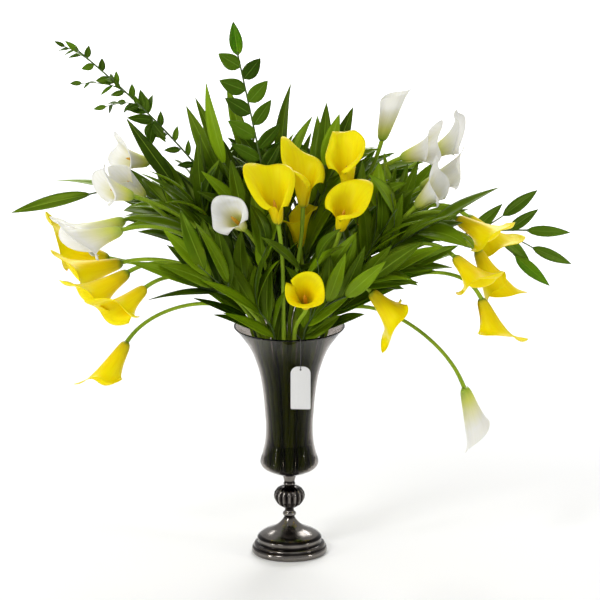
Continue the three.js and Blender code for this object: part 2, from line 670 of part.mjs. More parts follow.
// Leaves along a line: in two rows on a flat spray, and else in a spiral of golden angles.
const LAST_NODE = 0.985;
const GOLDEN_ANGLE = 137.5;
const TURN_SCATTER = 40;
const LAST_ANGLE = 4;
const LENGTH_RANGE = [0.85, 1.15];
const WIDTH_RANGE = [0.85, 1.1];
const ANGLE_RANGE = [0.85, 1.2];
const ARCH_RANGE = [8, 36];
const TWIST_RANGE = [-35, 35];
const FLAT_TOP_LENGTH = 0.7;
const FLAT_ARCH = 0.6;
const FLAT_TWIST = 0.3;
const within = ([low, high], random) => mix(low, high, random());

function growLeaves(line, stem, count, from, owner, random, taken) {
  const leaves = [];
  for (let k = 0; k < count; k += 1) {
    const node = placeOn(line, mix(from, LAST_NODE, k / (count - 1)));
    const last = k === count - 1;
    const size = stem.flat ? mix(1, FLAT_TOP_LENGTH, k / count) : within(LENGTH_RANGE, random);
    const plan = {
      around: stem.flat ? (k % 2) * 180 : k * GOLDEN_ANGLE + random() * TURN_SCATTER,
      angle: last ? LAST_ANGLE : stem.angle * within(ANGLE_RANGE, random),
      length: last ? stem.leafLength : stem.leafLength * size,
      width: stem.leafWidth * within(WIDTH_RANGE, random),
      arch: within(ARCH_RANGE, random) * (stem.flat ? FLAT_ARCH : 1),
      twist: within(TWIST_RANGE, random) * (stem.flat ? FLAT_TWIST : 1),
      flat: stem.flat,
      fan: stem.fan,
    };
    const leaf = clearLeaf(plan, node, owner, taken);
    if (leaf) {
      leaves.push(leaf);
      taken.take(offNode(leafBalls(leaf), node.point), leaf);
    }
  }
  return leaves;
}

// The forms of a leafy stem: the length, width and angle of its leaves, how many grow on it and on each of
// its shoots, and from what share of the way up. A flat one carries them in two rows.
const LIGHT_DROOP = [0, 0, -0.15];
const LANCE = {
  leafLength: 150, leafWidth: 28, angle: 21, leaves: 9, shootLeaves: 3, from: 0.1, flat: false, fan: 0.8,
};
const RUSCUS = {
  leafLength: 62, leafWidth: 27, angle: 50, leaves: 11, shootLeaves: 0, from: 0.56, flat: true, fan: 0,
};

// A leafy stem or spray: its name, where it stands (degrees and ring), where its last leaf ends, its side
// shoots as [share of the way up, end of the last leaf], its form and what differs from the form.
const leafy = (name, toward, ring, reach, shoots, form, changes) => (
  { name, toward, ring: LEAFY_RINGS[ring], reach, shoots, droop: LIGHT_DROOP, ...form, ...changes }
);
const LEAFY_STEMS = [
  leafy("leafy_stem_01", 157.5, "outer", [-489, 62, 600],
    [[0.45, [-350, 100, 680]]], LANCE, { leaves: 5, fan: 0, droop: [-0.1, 0, -0.75] }),
  leafy("leafy_stem_02", 247.5, "outer", [-268, -186, 566],
    [[0.4, [-230, -190, 600]], [0.55, [-150, -180, 640]]], LANCE, { leafWidth: 30 }),
  leafy("leafy_stem_03", 202.5, "outer", [-303, -10, 780],
    [[0.4, [-330, -80, 700]], [0.6, [-258, -30, 797]]], LANCE),
  leafy("leafy_stem_04", 180, "inner", [-175, -20, 850],
    [[0.4, [-190, 60, 800]], [0.6, [-156, 10, 812]]], LANCE),
  leafy("leafy_stem_05", 90, "inner", [-24, 40, 850],
    [[0.35, [-120, 90, 835]], [0.6, [-70, 0, 800]]], LANCE),
  leafy("leafy_stem_06", 0, "inner", [100, 0, 851],
    [[0.35, [104, 90, 800]], [0.6, [40, -10, 780]]], LANCE, { leafWidth: 30 }),
  leafy("leafy_stem_07", 22.5, "between", [361, 20, 710],
    [[0.4, [300, 110, 740]], [0.6, [334, 0, 684]]], LANCE),
  leafy("leafy_stem_08", 337.5, "outer", [365, -90, 690],
    [[0.4, [250, -120, 600]], [0.6, [250, -80, 660]]], LANCE, { leafWidth: 30 }),
  leafy("leafy_stem_09", 292.5, "outer", [170, -190, 545],
    [[0.4, [110, -200, 560]], [0.6, [230, -150, 600]]], LANCE, { leafLength: 120 }),
  leafy("leafy_stem_10", 67.5, "outer", [150, 290, 690],
    [[0.4, [40, 330, 610]], [0.6, [240, 220, 660]]], LANCE),
  leafy("leafy_stem_11", 112.5, "outer", [-170, 280, 700],
    [[0.4, [-260, 230, 620]], [0.6, [-60, 300, 720]]], LANCE),
  leafy("ruscus_spray_01", 270, "inner", [-103, 10, 972], [], RUSCUS),
  leafy("ruscus_spray_02", 135, "middle", [-400, 60, 930],
    [], RUSCUS, { leafLength: 32, leafWidth: 12, leaves: 18, from: 0.5, droop: [-0.6, 0, 0.2] }),
  leafy("ruscus_spray_03", 22.5, "outer", [512, 150, 554],
    [[0.7, [456, 165, 615]], [0.8, [513, 150, 500]], [0.76, [476, 130, 474]]], RUSCUS,
    {
      leafLength: 88, leafWidth: 23, leaves: 5, shootLeaves: 2, from: 0.66, angle: 30,
      droop: [0.4, 0, -0.4],
    }),
];

// Stems give way only to what was there before them, so all of them grow first, and then their leaves.
const SEED_START = 101;
const SEED_STEP = 17;
const SHOOT_LEAVES_FROM = 0.25;

function growLeafyStem(stem, k) {
  const line = clearStemLine(leafyPlan(stem), LEAFY_RADIUS + SEAT_GAP, stem);
  const above = line.slice(ARC_START);
  const shoots = stem.shoots.map(([from, reach]) => shootLine(above, from, vector(reach), stem.leafLength));
  room.take(ballsAlong(above, LEAFY_RADIUS + SEAT_GAP), stem);
  for (const shoot of shoots) room.take(ballsAlong(shoot, SHOOT_RADIUS), stem);
  return { ...stem, owner: stem, line, above, shoots, random: makeRandom(SEED_START + SEED_STEP * k) };
}

const leafyStems = LEAFY_STEMS.map(growLeafyStem);
for (const stem of leafyStems) {
  const { above, shoots, owner, random } = stem;
  const taken = new Room();
  stem.grown = growLeaves(above, stem, stem.leaves, stem.from, owner, random, taken);
  for (const shoot of shoots) {
    stem.grown.push(...growLeaves(shoot, stem, stem.shootLeaves, SHOOT_LEAVES_FROM, owner, random, taken));
  }
  for (const leaf of stem.grown) room.take(leafBalls(leaf), owner);
}

const LEAFY_SIDES = 4;

function leafySolid(stem) {
  const main = toSolid(bar(stem.line, taper(stem.line, LEAFY_RADIUS, LEAFY_TIP_RADIUS), LEAFY_SIDES));
  const shootRadius = (k) => mix(SHOOT_RADIUS, LEAFY_TIP_RADIUS, k / SHOOT_PIECES);
  const shoots = stem.shoots.map((shoot) => toSolid(bar(shoot, shootRadius, LEAFY_SIDES)));
  const leaves = stem.grown.map((leaf) => toSolid(leafGeometry(leaf)));
  return join([main, ...shoots, ...leaves]);
}

// The vase: a trumpet of smoked glass on a metal foot with a fluted knop.
const BOWL_OUTSIDE = [
  [NECK_RADIUS, NECK_TOP], [32.4, 151], [46.5, 159], [BULGE_RADIUS, BULGE_HEIGHT], [47.7, 186],
  [43.6, 205], [WAIST_RADIUS, WAIST_HEIGHT], [44, 270], [50.4, 320], [61.5, 362], [73, 385], [88, 407],
  [RIM_RADIUS, RIM_HEIGHT],
];
const BOWL_TURN_SIDES = 22;
const CORNER_RADIUS = 43;
const CORNER_HEIGHT = 162;
const WET_RADIUS = 43.6 - GLASS_WALL - SEAT_GAP;

function bowlInside() {
  const wall = BOWL_OUTSIDE.filter(([, height]) => height >= BULGE_HEIGHT)
    .map(([radius, height]) => [radius - GLASS_WALL, height]);
  return [...wall.reverse(), [CORNER_RADIUS, CORNER_HEIGHT], [INNER_FLOOR_RADIUS, INNER_FLOOR]];
}

function bowlGeometry() {
  return lathe([[0, NECK_TOP], ...BOWL_OUTSIDE, ...bowlInside(), [0, INNER_FLOOR]], BOWL_TURN_SIDES);
}

const FOOT_PROFILE = [
  [FOOT_RADIUS, 0], [67.5, 6], [63, 17], [56.5, 22], [57, 28.7], [52.2, 36.9], [38, 45], [16.4, 54.4],
  [8.3, 66.9], [11.4, 72.7], [8, 81], [19, 88], [KNOP_RADIUS, KNOP_HEIGHT], [20, 119],
  [9, 124.5], [9.6, 133.4], [NECK_RADIUS, NECK_TOP],
];

const FLUTE_DEPTH = 0.06;

// The turned foot, its knop fluted by moving each point of it in or out.
function footGeometry() {
  const turned = lathe([[0, 0], ...FOOT_PROFILE, [0, NECK_TOP]], 2 * FLUTES);
  const place = turned.getAttribute("position");
  for (let i = 0; i < place.count; i += 1) {
    const [x, y, z] = [place.getX(i), place.getY(i), place.getZ(i)];
    const onKnop = z > KNOP_BOTTOM && z < KNOP_TOP;
    const share = onKnop ? 1 + FLUTE_DEPTH * Math.cos(FLUTES * Math.atan2(y, x)) : 1;
    place.setXYZ(i, x * share, y * share, z);
  }
  return turned;
}

// Plain holes in the water: one round each cluster of calla stems, its outline as outward and aside of the
// cluster's middle, and one round each leafy stem.
const CLUSTER_HOLE = [
  [-11.8, 0], [-9.6, -4], [-5, -6.9], [1, -7.9], [8.5, -8.6], [12, -5], [12, 5], [8.5, 8.6], [1, 7.9],
  [-5, 6.9], [-9.6, 4],
];

const HOLE_CLEARANCE = 0.4;
const HOLE_END = 5;

function waterGeometry() {
  const rising = bowlInside().reverse().filter(([, height]) => height < WATER_LEVEL)
    .map(([radius, height]) => [radius - SEAT_GAP, height + SEAT_GAP]);
  const surface = [WET_RADIUS, WATER_LEVEL];
  const body = lathe([[0, STEM_FOOT], ...rising, surface, [0, WATER_LEVEL]], BOWL_TURN_SIDES);
  const ends = [STEM_FOOT - HOLE_END, WATER_LEVEL + HOLE_END];
  const clusters = CLUSTER_NAMES.map((_, cluster) => {
    const heading = cluster * CLUSTER_TURN;
    const middle = polar(CLUSTER_RADIUS, heading, 0);
    const outline = CLUSTER_HOLE.map(([outward, aside]) => (
      new THREE.Vector3(outward, aside, 0).applyAxisAngle(UP, heading * DEGREE).add(middle)
    ));
    return toSolid(skin(ends.map((height) => outline.map((point) => point.clone().setZ(height)))));
  });
  const leafy = leafyStems.map(({ line }) => {
    const standing = ends.map((height) => line[0].clone().setZ(height));
    return toSolid(bar(standing, () => LEAFY_RADIUS + HOLE_CLEARANCE, LEAFY_SIDES));
  });
  return toGeometry(toSolid(body).subtract(join([...clusters, ...leafy])));
}

// The tag hangs plumb in front of the glass from a string that runs over the rim to the stems.
const TAG_X = 20;
const TAG_Y = -102;
const TAG_TOP = 374;
const TAG_SHOULDER = 12;
const TAG_TOP_HALF = 6;
const TAG_CORNER = [1, 3];
const EYE_DROP = 6;
const EYE_RADIUS = 1.4;
const EYE_SEGMENTS = 4;

function tagGeometry() {
  const outline = new THREE.Shape();
  const half = TAG_WIDTH / 2;
  const [inset, drop] = TAG_CORNER;
  outline.moveTo(-half, -TAG_HEIGHT);
  outline.lineTo(half, -TAG_HEIGHT);
  outline.lineTo(half, -TAG_SHOULDER);
  outline.quadraticCurveTo(half - inset, -drop, TAG_TOP_HALF, 0);
  outline.lineTo(-TAG_TOP_HALF, 0);
  outline.quadraticCurveTo(inset - half, -drop, -half, -TAG_SHOULDER);
  const eye = new THREE.Path();
  eye.absarc(0, -EYE_DROP, EYE_RADIUS, 0, 2 * Math.PI, true);
  outline.holes.push(eye);
  const settings = { depth: TAG_THICKNESS, bevelEnabled: false, curveSegments: EYE_SEGMENTS };
  return new THREE.ExtrudeGeometry(outline, settings);
}

const STRING_SIDES = 6;

function stringGeometry() {
  const eye = TAG_TOP - EYE_DROP;
  const line = [
    [11.8, -73.2, 424], [19, -90, 421.6], [TAG_X, -99, 421.2], [TAG_X, -100.6, 417], [TAG_X, -103.4, 384],
    [TAG_X, -103.4, eye + 1], [TAG_X, -102.2, eye], [TAG_X, -100.2, eye],
  ];
  return bar(line.map(vector), () => STRING_RADIUS, STRING_SIDES);
}

const finish = (color, roughness, metalness) => (
  new THREE.MeshStandardMaterial({ color, roughness, metalness })
);
const SMOKED_GLASS = finish("#4a4543", 0.05, 0);
const DARK_METAL = finish("#4b4846", 0.25, 1);
const WATER = finish("#8f9a90", 0.02, 0);
const CARD = finish("#f4f4f2", 0.7, 0);
const STRING = finish("#6b6a66", 0.8, 0);
const YELLOW = finish("#ffd800", 0.5, 0);
const WHITE = finish("#f6f5ec", 0.5, 0);
const STEM_GREEN = finish("#7da63a", 0.5, 0);
const LEAF_GREEN = finish("#2f5c1a", 0.45, 0);

const arrangement = new THREE.Group();

function place(name, geometry, material) {
  const mesh = new THREE.Mesh(tidy(geometry), material);
  mesh.name = name;
  arrangement.add(mesh);
  return mesh;
}

place("vase_foot", footGeometry(), DARK_METAL);
place("vase_bowl", bowlGeometry(), SMOKED_GLASS);
place("water", waterGeometry(), WATER);
const tag = place("tag", tagGeometry(), CARD);
tag.rotation.set(Math.PI / 2, 0, 0);
tag.position.set(TAG_X, TAG_Y, TAG_TOP);
place("tag_string", stringGeometry(), STRING);

CLUSTER_NAMES.forEach((side, cluster) => {
  const stems = BLOOMS.filter((flower) => flower.cluster === cluster).map(callaBar);
  place(`calla_stems_${side}`, toGeometry(join(stems)), STEM_GREEN);
});

const count = { yellow: 0, white: 0 };
for (const flower of BLOOMS) {
  count[flower.colour] += 1;
  const name = `${flower.colour}_bloom_${String(count[flower.colour]).padStart(2, "0")}`;
  place(name, bloomGeometry(flower), flower.colour === "yellow" ? YELLOW : WHITE);
}

for (const stem of leafyStems) place(stem.name, toGeometry(leafySolid(stem)), LEAF_GREEN);

export default arrangement;
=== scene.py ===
# %% [markdown]
# # Calla lilies in a footed vase
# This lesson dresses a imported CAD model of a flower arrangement. The CAD nodes are plain, faceted solids
# that say where each bloom, stem and leaf is. Each one is replaced by a finer piece that follows the same
# rule of growth, so that both stand in the same place. Pieces are shaped in millimetres and scaled to metres
# at the end. The camera and the lamps are placed in metres.

# %% Load the CAD frame and measure it
import math

import bmesh
import bpy
import numpy as np
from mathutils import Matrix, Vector
from mathutils.bvhtree import BVHTree


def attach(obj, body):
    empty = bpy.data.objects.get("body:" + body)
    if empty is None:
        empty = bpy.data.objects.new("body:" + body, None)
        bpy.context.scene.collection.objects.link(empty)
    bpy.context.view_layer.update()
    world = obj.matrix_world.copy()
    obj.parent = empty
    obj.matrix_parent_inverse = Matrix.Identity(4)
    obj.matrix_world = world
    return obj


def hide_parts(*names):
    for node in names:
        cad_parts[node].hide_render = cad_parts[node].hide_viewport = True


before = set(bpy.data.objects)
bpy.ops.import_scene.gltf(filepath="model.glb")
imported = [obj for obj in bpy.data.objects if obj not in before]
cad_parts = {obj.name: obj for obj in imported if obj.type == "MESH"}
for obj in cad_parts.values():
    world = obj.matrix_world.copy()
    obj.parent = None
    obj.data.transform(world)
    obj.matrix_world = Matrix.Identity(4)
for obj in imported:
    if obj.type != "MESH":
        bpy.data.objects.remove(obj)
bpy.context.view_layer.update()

print("CAD nodes:", len(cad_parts))

# %% [markdown]
# ## The camera
# The photograph looks down by about 15 degrees from far away. A long lens keeps the lines almost parallel.
# The camera comes first, because everything else is judged through it.

# %% Place the camera
FRAME_WIDTH = 1.08
FRAME_RIGHT, FRAME_UP = 0.019, 0.4516
CAMERA_DISTANCE = 8.0
CAMERA_ELEVATION = math.radians(15)
FARTHEST_VIEW = 100
SENSOR = 36.0

sight = Vector((0, -math.cos(CAMERA_ELEVATION), math.sin(CAMERA_ELEVATION)))
sight_up = Vector((0, math.sin(CAMERA_ELEVATION), math.cos(CAMERA_ELEVATION)))
frame_centre = Vector((1, 0, 0)) * FRAME_RIGHT + sight_up * FRAME_UP

camera_data = bpy.data.cameras.new("camera")
camera_data.sensor_width = SENSOR
camera_data.lens = SENSOR * CAMERA_DISTANCE / FRAME_WIDTH
camera_data.clip_end = FARTHEST_VIEW
camera = bpy.data.objects.new("camera", camera_data)
bpy.context.scene.collection.objects.link(camera)
camera.location = frame_centre + sight * CAMERA_DISTANCE
camera.rotation_euler = (math.pi / 2 - CAMERA_ELEVATION, 0, 0)
bpy.context.scene.camera = camera
print("lens in mm:", round(camera_data.lens))

# %% [markdown]
# ## From a bmesh to a finished piece
# Every piece is shaped in a bmesh in millimetres and then scaled to metres. Its object stays at the origin.
# It rides on the only body of the model and stands for one CAD node, which is then hidden.

# %% A helper that finishes a piece
MM = 0.001


def finish_piece(name, bm, materials, node):
    bmesh.ops.scale(bm, vec=(MM, MM, MM), verts=bm.verts)
    mesh = bpy.data.meshes.new(name)
    bm.to_mesh(mesh)
    bm.free()
    for material in materials:
        mesh.materials.append(material)
    mesh.shade_smooth()
    piece = bpy.data.objects.new(name, mesh)
    bpy.context.scene.collection.objects.link(piece)
    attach(piece, "root")
    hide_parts(node)
    print(name, "has", len(mesh.polygons), "faces")


# %% [markdown]
# ## A grid bent by a rule
# Petals and leaves are thin sheets, and stems are tubes. All three start as a flat grid. Each vertex is then
# moved to the place that a formula gives for its two coordinates, s across and t along. The grid keeps its
# own UV map, so that veins can follow the sheet. A tube is a grid that is rolled round a line: its first
# and last rows shrink to a point, and merging what lies on one spot closes the seam and the ends.

# %% Helpers for sheets and tubes
SAME_SPOT = 1e-3


def bend_sheet(bm, across, along, rule, material_index=0, tone=0.5):
    """Adds a grid and moves it by rule(s, t), which takes and gives arrays. s and t run from 0 to 1."""
    uv_layer = bm.loops.layers.uv.verify()
    tone_layer = bm.verts.layers.float.get("tone") or bm.verts.layers.float.new("tone")
    faces_before = len(bm.faces)
    verts = bmesh.ops.create_grid(bm, x_segments=across, y_segments=along, size=0.5)["verts"]
    flat = np.array([vert.co[:2] for vert in verts]) + 0.5
    bm.faces.ensure_lookup_table()
    faces = bm.faces[faces_before:]
    for face in faces:
        face.material_index = material_index
        for loop in face.loops:
            loop[uv_layer].uv = (loop.vert.co.x + 0.5, loop.vert.co.y + 0.5)
    for vert, place in zip(verts, rule(flat[:, 0], flat[:, 1])):
        vert.co = place
        vert[tone_layer] = tone
    return verts, faces


def unit(vector):
    return vector / np.linalg.norm(vector)


def tube(bm, points, radii, around, material_index=0):
    """Adds a closed round bar along a line of points."""
    points = np.array(points, float)
    count = len(points)
    steps = np.vstack([points[1:], points[-1:]]) - np.vstack([points[:1], points[:-1]])
    side = np.array([1.0, 0.0, 0.0])
    sides, asides = [], []
    for along in map(unit, steps):
        side = unit(side - along * side.dot(along))
        sides.append(side)
        asides.append(np.cross(along, side))
    sides, asides = np.array(sides), np.array(asides)
    radii = np.broadcast_to(radii, count)

    def rule(s, t):
        row = np.rint(t * (count + 1)).astype(int) - 1
        inner = np.clip(row, 0, count - 1)
        radius = np.where(row == inner, radii[inner], 0)[:, None]
        turn = 2 * math.pi * s[:, None]
        return points[inner] + radius * (np.cos(turn) * sides[inner] + np.sin(turn) * asides[inner])

    verts, faces = bend_sheet(bm, around, count + 1, rule, material_index)
    bmesh.ops.remove_doubles(bm, verts=verts, dist=SAME_SPOT)
    bmesh.ops.recalc_face_normals(bm, faces=[face for face in faces if face.is_valid])


# %% [markdown]
# ## Materials from nodes
# Each finish is a Principled shader. What is the same all over the surface is set on its sockets. Colour
# variation, roughness and bump come from textures that read the piece's UV map, its own space, or the tone
# that each vertex of its mesh carries. A helper for each kind of node keeps the finishes short.

# %% Helpers for node materials
WHITE = (1, 1, 1)
BLACK = (0, 0, 0)


def shader_of(material):
    return material.node_tree.nodes["Principled BSDF"]


def new_material(name, **sockets):
    material = bpy.data.materials.new(name)
    material.use_nodes = True
    for socket, value in sockets.items():
        title = socket.replace("_", " ").title().replace("Ior", "IOR")
        shader_of(material).inputs[title].default_value = value
    return material


def add_node(material, kind, inputs, **settings):
    """Adds a node. inputs maps a socket's name or number to a value, or to another node's output."""
    node = material.node_tree.nodes.new("ShaderNode" + kind)
    for setting, value in settings.items():
        setattr(node, setting, value)
    for socket, value in inputs.items():
        if isinstance(value, bpy.types.NodeSocket):
            material.node_tree.links.new(value, node.inputs[socket])
        else:
            node.inputs[socket].default_value = value
    return node


def drive(material, socket, output):
    material.node_tree.links.new(output, shader_of(material).inputs[socket])


def ramp(material, factor, stops):
    """A colour ramp. stops are (position, colour) pairs."""
    node = add_node(material, "ValToRGB", {0: factor})
    elements = node.color_ramp.elements
    while len(elements) < len(stops):
        elements.new(0.5)
    for element, (position, colour) in zip(elements, stops):
        element.position = position
        element.color = (*colour, 1)
    return node.outputs["Color"]


def blend(material, factor, first, second, mode="MULTIPLY"):
    """Two colours blended. The second one is another node's output or a plain colour."""
    if not isinstance(second, bpy.types.NodeSocket):
        second = (*second, 1)
    node = add_node(material, "Mix", {0: factor, 6: first, 7: second}, data_type="RGBA", blend_type=mode)
    return node.outputs[2]


def noise(material, vector, scale, detail=3.0):
    return add_node(material, "TexNoise", {"Vector": vector, "Scale": scale, "Detail": detail}).outputs["Fac"]


def number(material, operation, first, second=0.0):
    return add_node(material, "Math", {0: first, 1: second}, operation=operation).outputs[0]


def varied(material, value, texture, amount):
    """A value that a texture moves up and down by half of the amount."""
    swing = number(material, "MULTIPLY", number(material, "SUBTRACT", texture, 0.5), amount)
    return number(material, "ADD", value, swing)


def between(material, share, low, high):
    return add_node(material, "MapRange", {"Value": share, "To Min": low, "To Max": high}).outputs["Result"]


def bump(material, height, strength, distance):
    node = add_node(material, "Bump", {"Height": height, "Strength": strength, "Distance": distance * MM})
    drive(material, "Normal", node.outputs["Normal"])


def object_space(material):
    return add_node(material, "TexCoord", {}).outputs["Object"]


def sheet_space(material):
    """The UV map of a bent sheet: as a vector, across and along."""
    uv = add_node(material, "TexCoord", {}).outputs["UV"]
    split = add_node(material, "SeparateXYZ", {0: uv})
    return uv, split.outputs["X"], split.outputs["Y"]


def stretched(material, vector, scale):
    return add_node(material, "Mapping", {"Vector": vector, "Scale": scale}).outputs["Vector"]


def vertex_tone(material):
    return add_node(material, "Attribute", {}, attribute_name="tone").outputs["Fac"]


def grain(material, texture, dark, pale, strength, distance):
    """Colours a finish by a texture, between two stops of a ramp, and lets the same texture raise it."""
    drive(material, "Base Color", ramp(material, texture, [dark, pale]))
    bump(material, texture, strength, distance)


# %% [markdown]
# ## The metal foot
# The foot is a spun casting, plated dark, with two tiers, a slender neck and a fluted knop. It could be
# built from stacked rings, but a profile drawn as a chain of vertices and spun round the axis gives all of it
# at once. The flutes are then pressed in: each vertex of the knop moves by a scalloped rule of its angle,
# inwards in a flute and a little outwards on a rib. Each vertex also gets a tone that paints light into the
# plating: painted shade in the grooves and flutes, and a painted highlight on each rib.

# %% Spin a profile round the axis
def spin_profile(profile, steps):
    """A closed solid of revolution from [radius, height] points, listed up the outside of the piece."""
    bm = bmesh.new()
    bm.loops.layers.uv.verify()
    chain = [bm.verts.new((radius, 0, height)) for radius, height in profile]
    edges = [bm.edges.new(pair) for pair in zip(chain, chain[1:])]
    bmesh.ops.spin(
        bm, geom=chain + edges, cent=(0, 0, 0), axis=(0, 0, 1), dvec=(0, 0, 0),
        angle=2 * math.pi, steps=steps, use_merge=True, use_duplicate=False,
    )
    bmesh.ops.remove_doubles(bm, verts=bm.verts, dist=SAME_SPOT)
    bmesh.ops.recalc_face_normals(bm, faces=bm.faces)
    return bm


def smooth_through(points, steps):
    """Points on a smooth cubic curve through given points, steps to each stretch."""
    points = np.array(points, float)
    padded = np.vstack([2 * points[0] - points[1], points, 2 * points[-1] - points[-2]])
    rounded = []
    for before, start, end, after in zip(padded, padded[1:], padded[2:], padded[3:]):
        for t in np.arange(steps) / steps:
            rounded.append(
                0.5 * (2 * start + (end - before) * t + (2 * before - 5 * start + 4 * end - after) * t**2
                       + (3 * start - before - 3 * end + after) * t**3)
            )
    return [*map(list, rounded), list(points[-1])]


# %% The profile of the foot, from the floor up
foot_profile = [
    [0, 0], [64.2, 0], [65.4, 0.5], [67, 2.6], [67.5, 6], [67.1, 9.4], [65.7, 11.6], [64.2, 12.4],
    [63.9, 13.4], [64, 15], [63, 17.2], [60.8, 18.6], [57.8, 19.4], [57.2, 20.2], [57, 24.6], [57.3, 26],
    [57.8, 27.2], [57.8, 28.4], [57.1, 29.4], [55.6, 31.2], [52.2, 34.4], [47, 37.6], [40.6, 40.6],
    [33, 43.8], [26, 47.4], [21, 51], [17, 54.8], [13.6, 58.8], [11.3, 62], [9.8, 64.6], [8.9, 66.4],
    [9.3, 67.6], [11.1, 68.8], [12, 70.6], [12, 72.4], [11, 74.4], [9.2, 75.8], [8.4, 77.2], [8, 79.4],
    [8.4, 81.4], [10.4, 83.4], [14.6, 85.6], [19.4, 89.2], [23.4, 94], [26, 100], [26.8, 106.4],
    [25.8, 112.2], [22.6, 117.4], [17.4, 121.2], [12, 123.4], [9.2, 124.4], [9, 125.4], [10.6, 126.6],
    [10.9, 128], [10, 129.6], [9.3, 131.4], [9.5, 134], [10.6, 138], [12, 141.6], [13.3, 144.3],
    [0, 144.3],
]
FOOT_STEPS = 160
foot = spin_profile(foot_profile, FOOT_STEPS)

# %% Press the flutes in and paint shade and highlights on them
GROOVES = (13.4, 20.2, 31, 66.4, 79.4, 85, 121, 125.2, 131.4)
GROOVE_SHADE_WIDTH = 1.7
KNOP_BOTTOM, KNOP_TOP = 84, 122
KNOP_FADE = 0.6
FLUTES = 16
FLUTE_DEPTH = 0.16
RIB_ROUNDNESS = 0.7
RIB_REST = 0.75
RIB_HIGHLIGHT_POWER = 1.4
tone_layer = foot.verts.layers.float.new("tone")
# The tone is painted light: a painted shade band at each groove, painted shade in the knop's flutes and a
# painted highlight on its ribs.
for vert in foot.verts:
    x, y, height = vert.co
    painted_light_share = 1 - max(math.exp(-(((height - groove) / GROOVE_SHADE_WIDTH) ** 2)) for groove in GROOVES)
    if KNOP_BOTTOM < height < KNOP_TOP:
        fade = math.sin(math.pi * (height - KNOP_BOTTOM) / (KNOP_TOP - KNOP_BOTTOM)) ** KNOP_FADE
        rib = abs(math.cos(FLUTES / 2 * math.atan2(y, x)))
        pull = 1 + FLUTE_DEPTH * fade * (rib**RIB_ROUNDNESS - RIB_REST)
        painted_light_share *= 1 - fade * (1 - rib**RIB_HIGHLIGHT_POWER)
        vert.co = (x * pull, y * pull, height)
    vert[tone_layer] = painted_light_share

# %% Plate the foot
dark_nickel = new_material("dark nickel", metallic=1.0)
space = object_space(dark_nickel)
# Painted shade in the grooves and flutes and painted highlights on the ribs, with random wear from noise on
# top.
wear_and_painted_light = varied(dark_nickel, vertex_tone(dark_nickel), noise(dark_nickel, space, 45.0), 0.7)
drive(dark_nickel, "Base Color", ramp(
    dark_nickel, wear_and_painted_light, [(0.1, (0.005, 0.004, 0.004)), (0.7, (0.05, 0.044, 0.04)), (1.0, (0.2, 0.184, 0.168))],
))
drive(dark_nickel, "Roughness", between(dark_nickel, noise(dark_nickel, space, 400.0), 0.08, 0.22))
bump(dark_nickel, noise(dark_nickel, space, 900.0), 0.15, 0.3)
finish_piece("metal_foot", foot, [dark_nickel], "vase_foot")

# %% [markdown]
# ## The smoked-glass bowl
# The bowl is blown: a trumpet over a waist and a low bulge. A single skin could stand for it, but light bends
# twice on its way through a real wall. So the profile runs up the outside, over a rounded rim and down the
# inside to a thick floor. The smoke is the shader's own colour, which darkens each pass of the light. A dark
# tint on the highlights keeps a pale veil off the glass.

# %% Spin the bowl
CURVE_STEPS = 3
BOWL_STEPS = 144
BOWL_BOTTOM, INNER_FLOOR = 144.4, 156
bowl_outside = [
    [13.3, BOWL_BOTTOM], [21.6, 147], [32.4, 151], [43.2, 156.5], [49.5, 162], [52, 169], [50.6, 177.5],
    [47.7, 186], [43.6, 205], [42.1, 224], [42.1, 242], [43.6, 261], [45, 280], [47, 298], [49.7, 317],
    [53.3, 335], [59, 354], [66.3, 373], [76.6, 391], [90.4, 409.4], [98, 418.4],
]
bowl_inside = [
    [95.8, 420], [88.3, 411.8], [73.9, 393.2], [63.4, 374.8], [55.8, 355.2], [50, 336], [46.3, 317.4],
    [43.5, 298], [41.5, 280], [40.1, 261], [38.6, 242], [38.6, 224], [40.1, 205], [43.8, 187.6],
    [46.6, 177.6], [47.6, 169], [44.6, 162.6], [39.6, 158.4], [34, 156.4],
]
rim = [[98.8, 419.6], [98.6, 420.6], [97.4, 420.9]]
outer_wall = smooth_through(bowl_outside, CURVE_STEPS)
inner_wall = smooth_through(bowl_inside, CURVE_STEPS)
bowl_profile = [[0, BOWL_BOTTOM], *outer_wall, *rim, *inner_wall, [0, INNER_FLOOR]]
bowl = spin_profile(bowl_profile, BOWL_STEPS)

smoked_glass = new_material(
    "smoked glass", base_color=(0.27, 0.24, 0.215, 1), roughness=0.0, transmission_weight=1.0, ior=1.45,
    specular_tint=(0.12, 0.116, 0.112, 1),
)
bump(smoked_glass, noise(smoked_glass, object_space(smoked_glass), 14.0, 1.0), 0.05, 1.0)
finish_piece("glass_bowl", bowl, [smoked_glass], "vase_bowl")

# %% [markdown]
# ## The water
# The stems stand in shallow water. A flat disc would show its level, but only a body bends the light. So it
# is spun too, a hair smaller than the inside of the glass, and its surface climbs a little at the wall.

# %% Spin the water
WATER_LEVEL = 205
WATER_STEPS = 96
SEAT_GAP = 0.3
wet_wall = [(radius, height) for radius, height in reversed(inner_wall) if height < WATER_LEVEL]
water_profile = [
    [0, INNER_FLOOR + SEAT_GAP],
    *[[radius - SEAT_GAP, height + SEAT_GAP] for radius, height in wet_wall],
    [39.7, WATER_LEVEL + 0.6], [38.8, WATER_LEVEL - 0.5], [37, WATER_LEVEL - 0.9], [0, WATER_LEVEL - 0.9],
]
still_water = new_material(
    "still water", base_color=(0.93, 0.97, 0.9, 1), roughness=0.0, transmission_weight=1.0, ior=1.33,
)
bump(still_water, noise(still_water, object_space(still_water), 30.0, 1.0), 0.04, 1.0)
finish_piece("still_water", spin_profile(water_profile, WATER_STEPS), [still_water], "water")

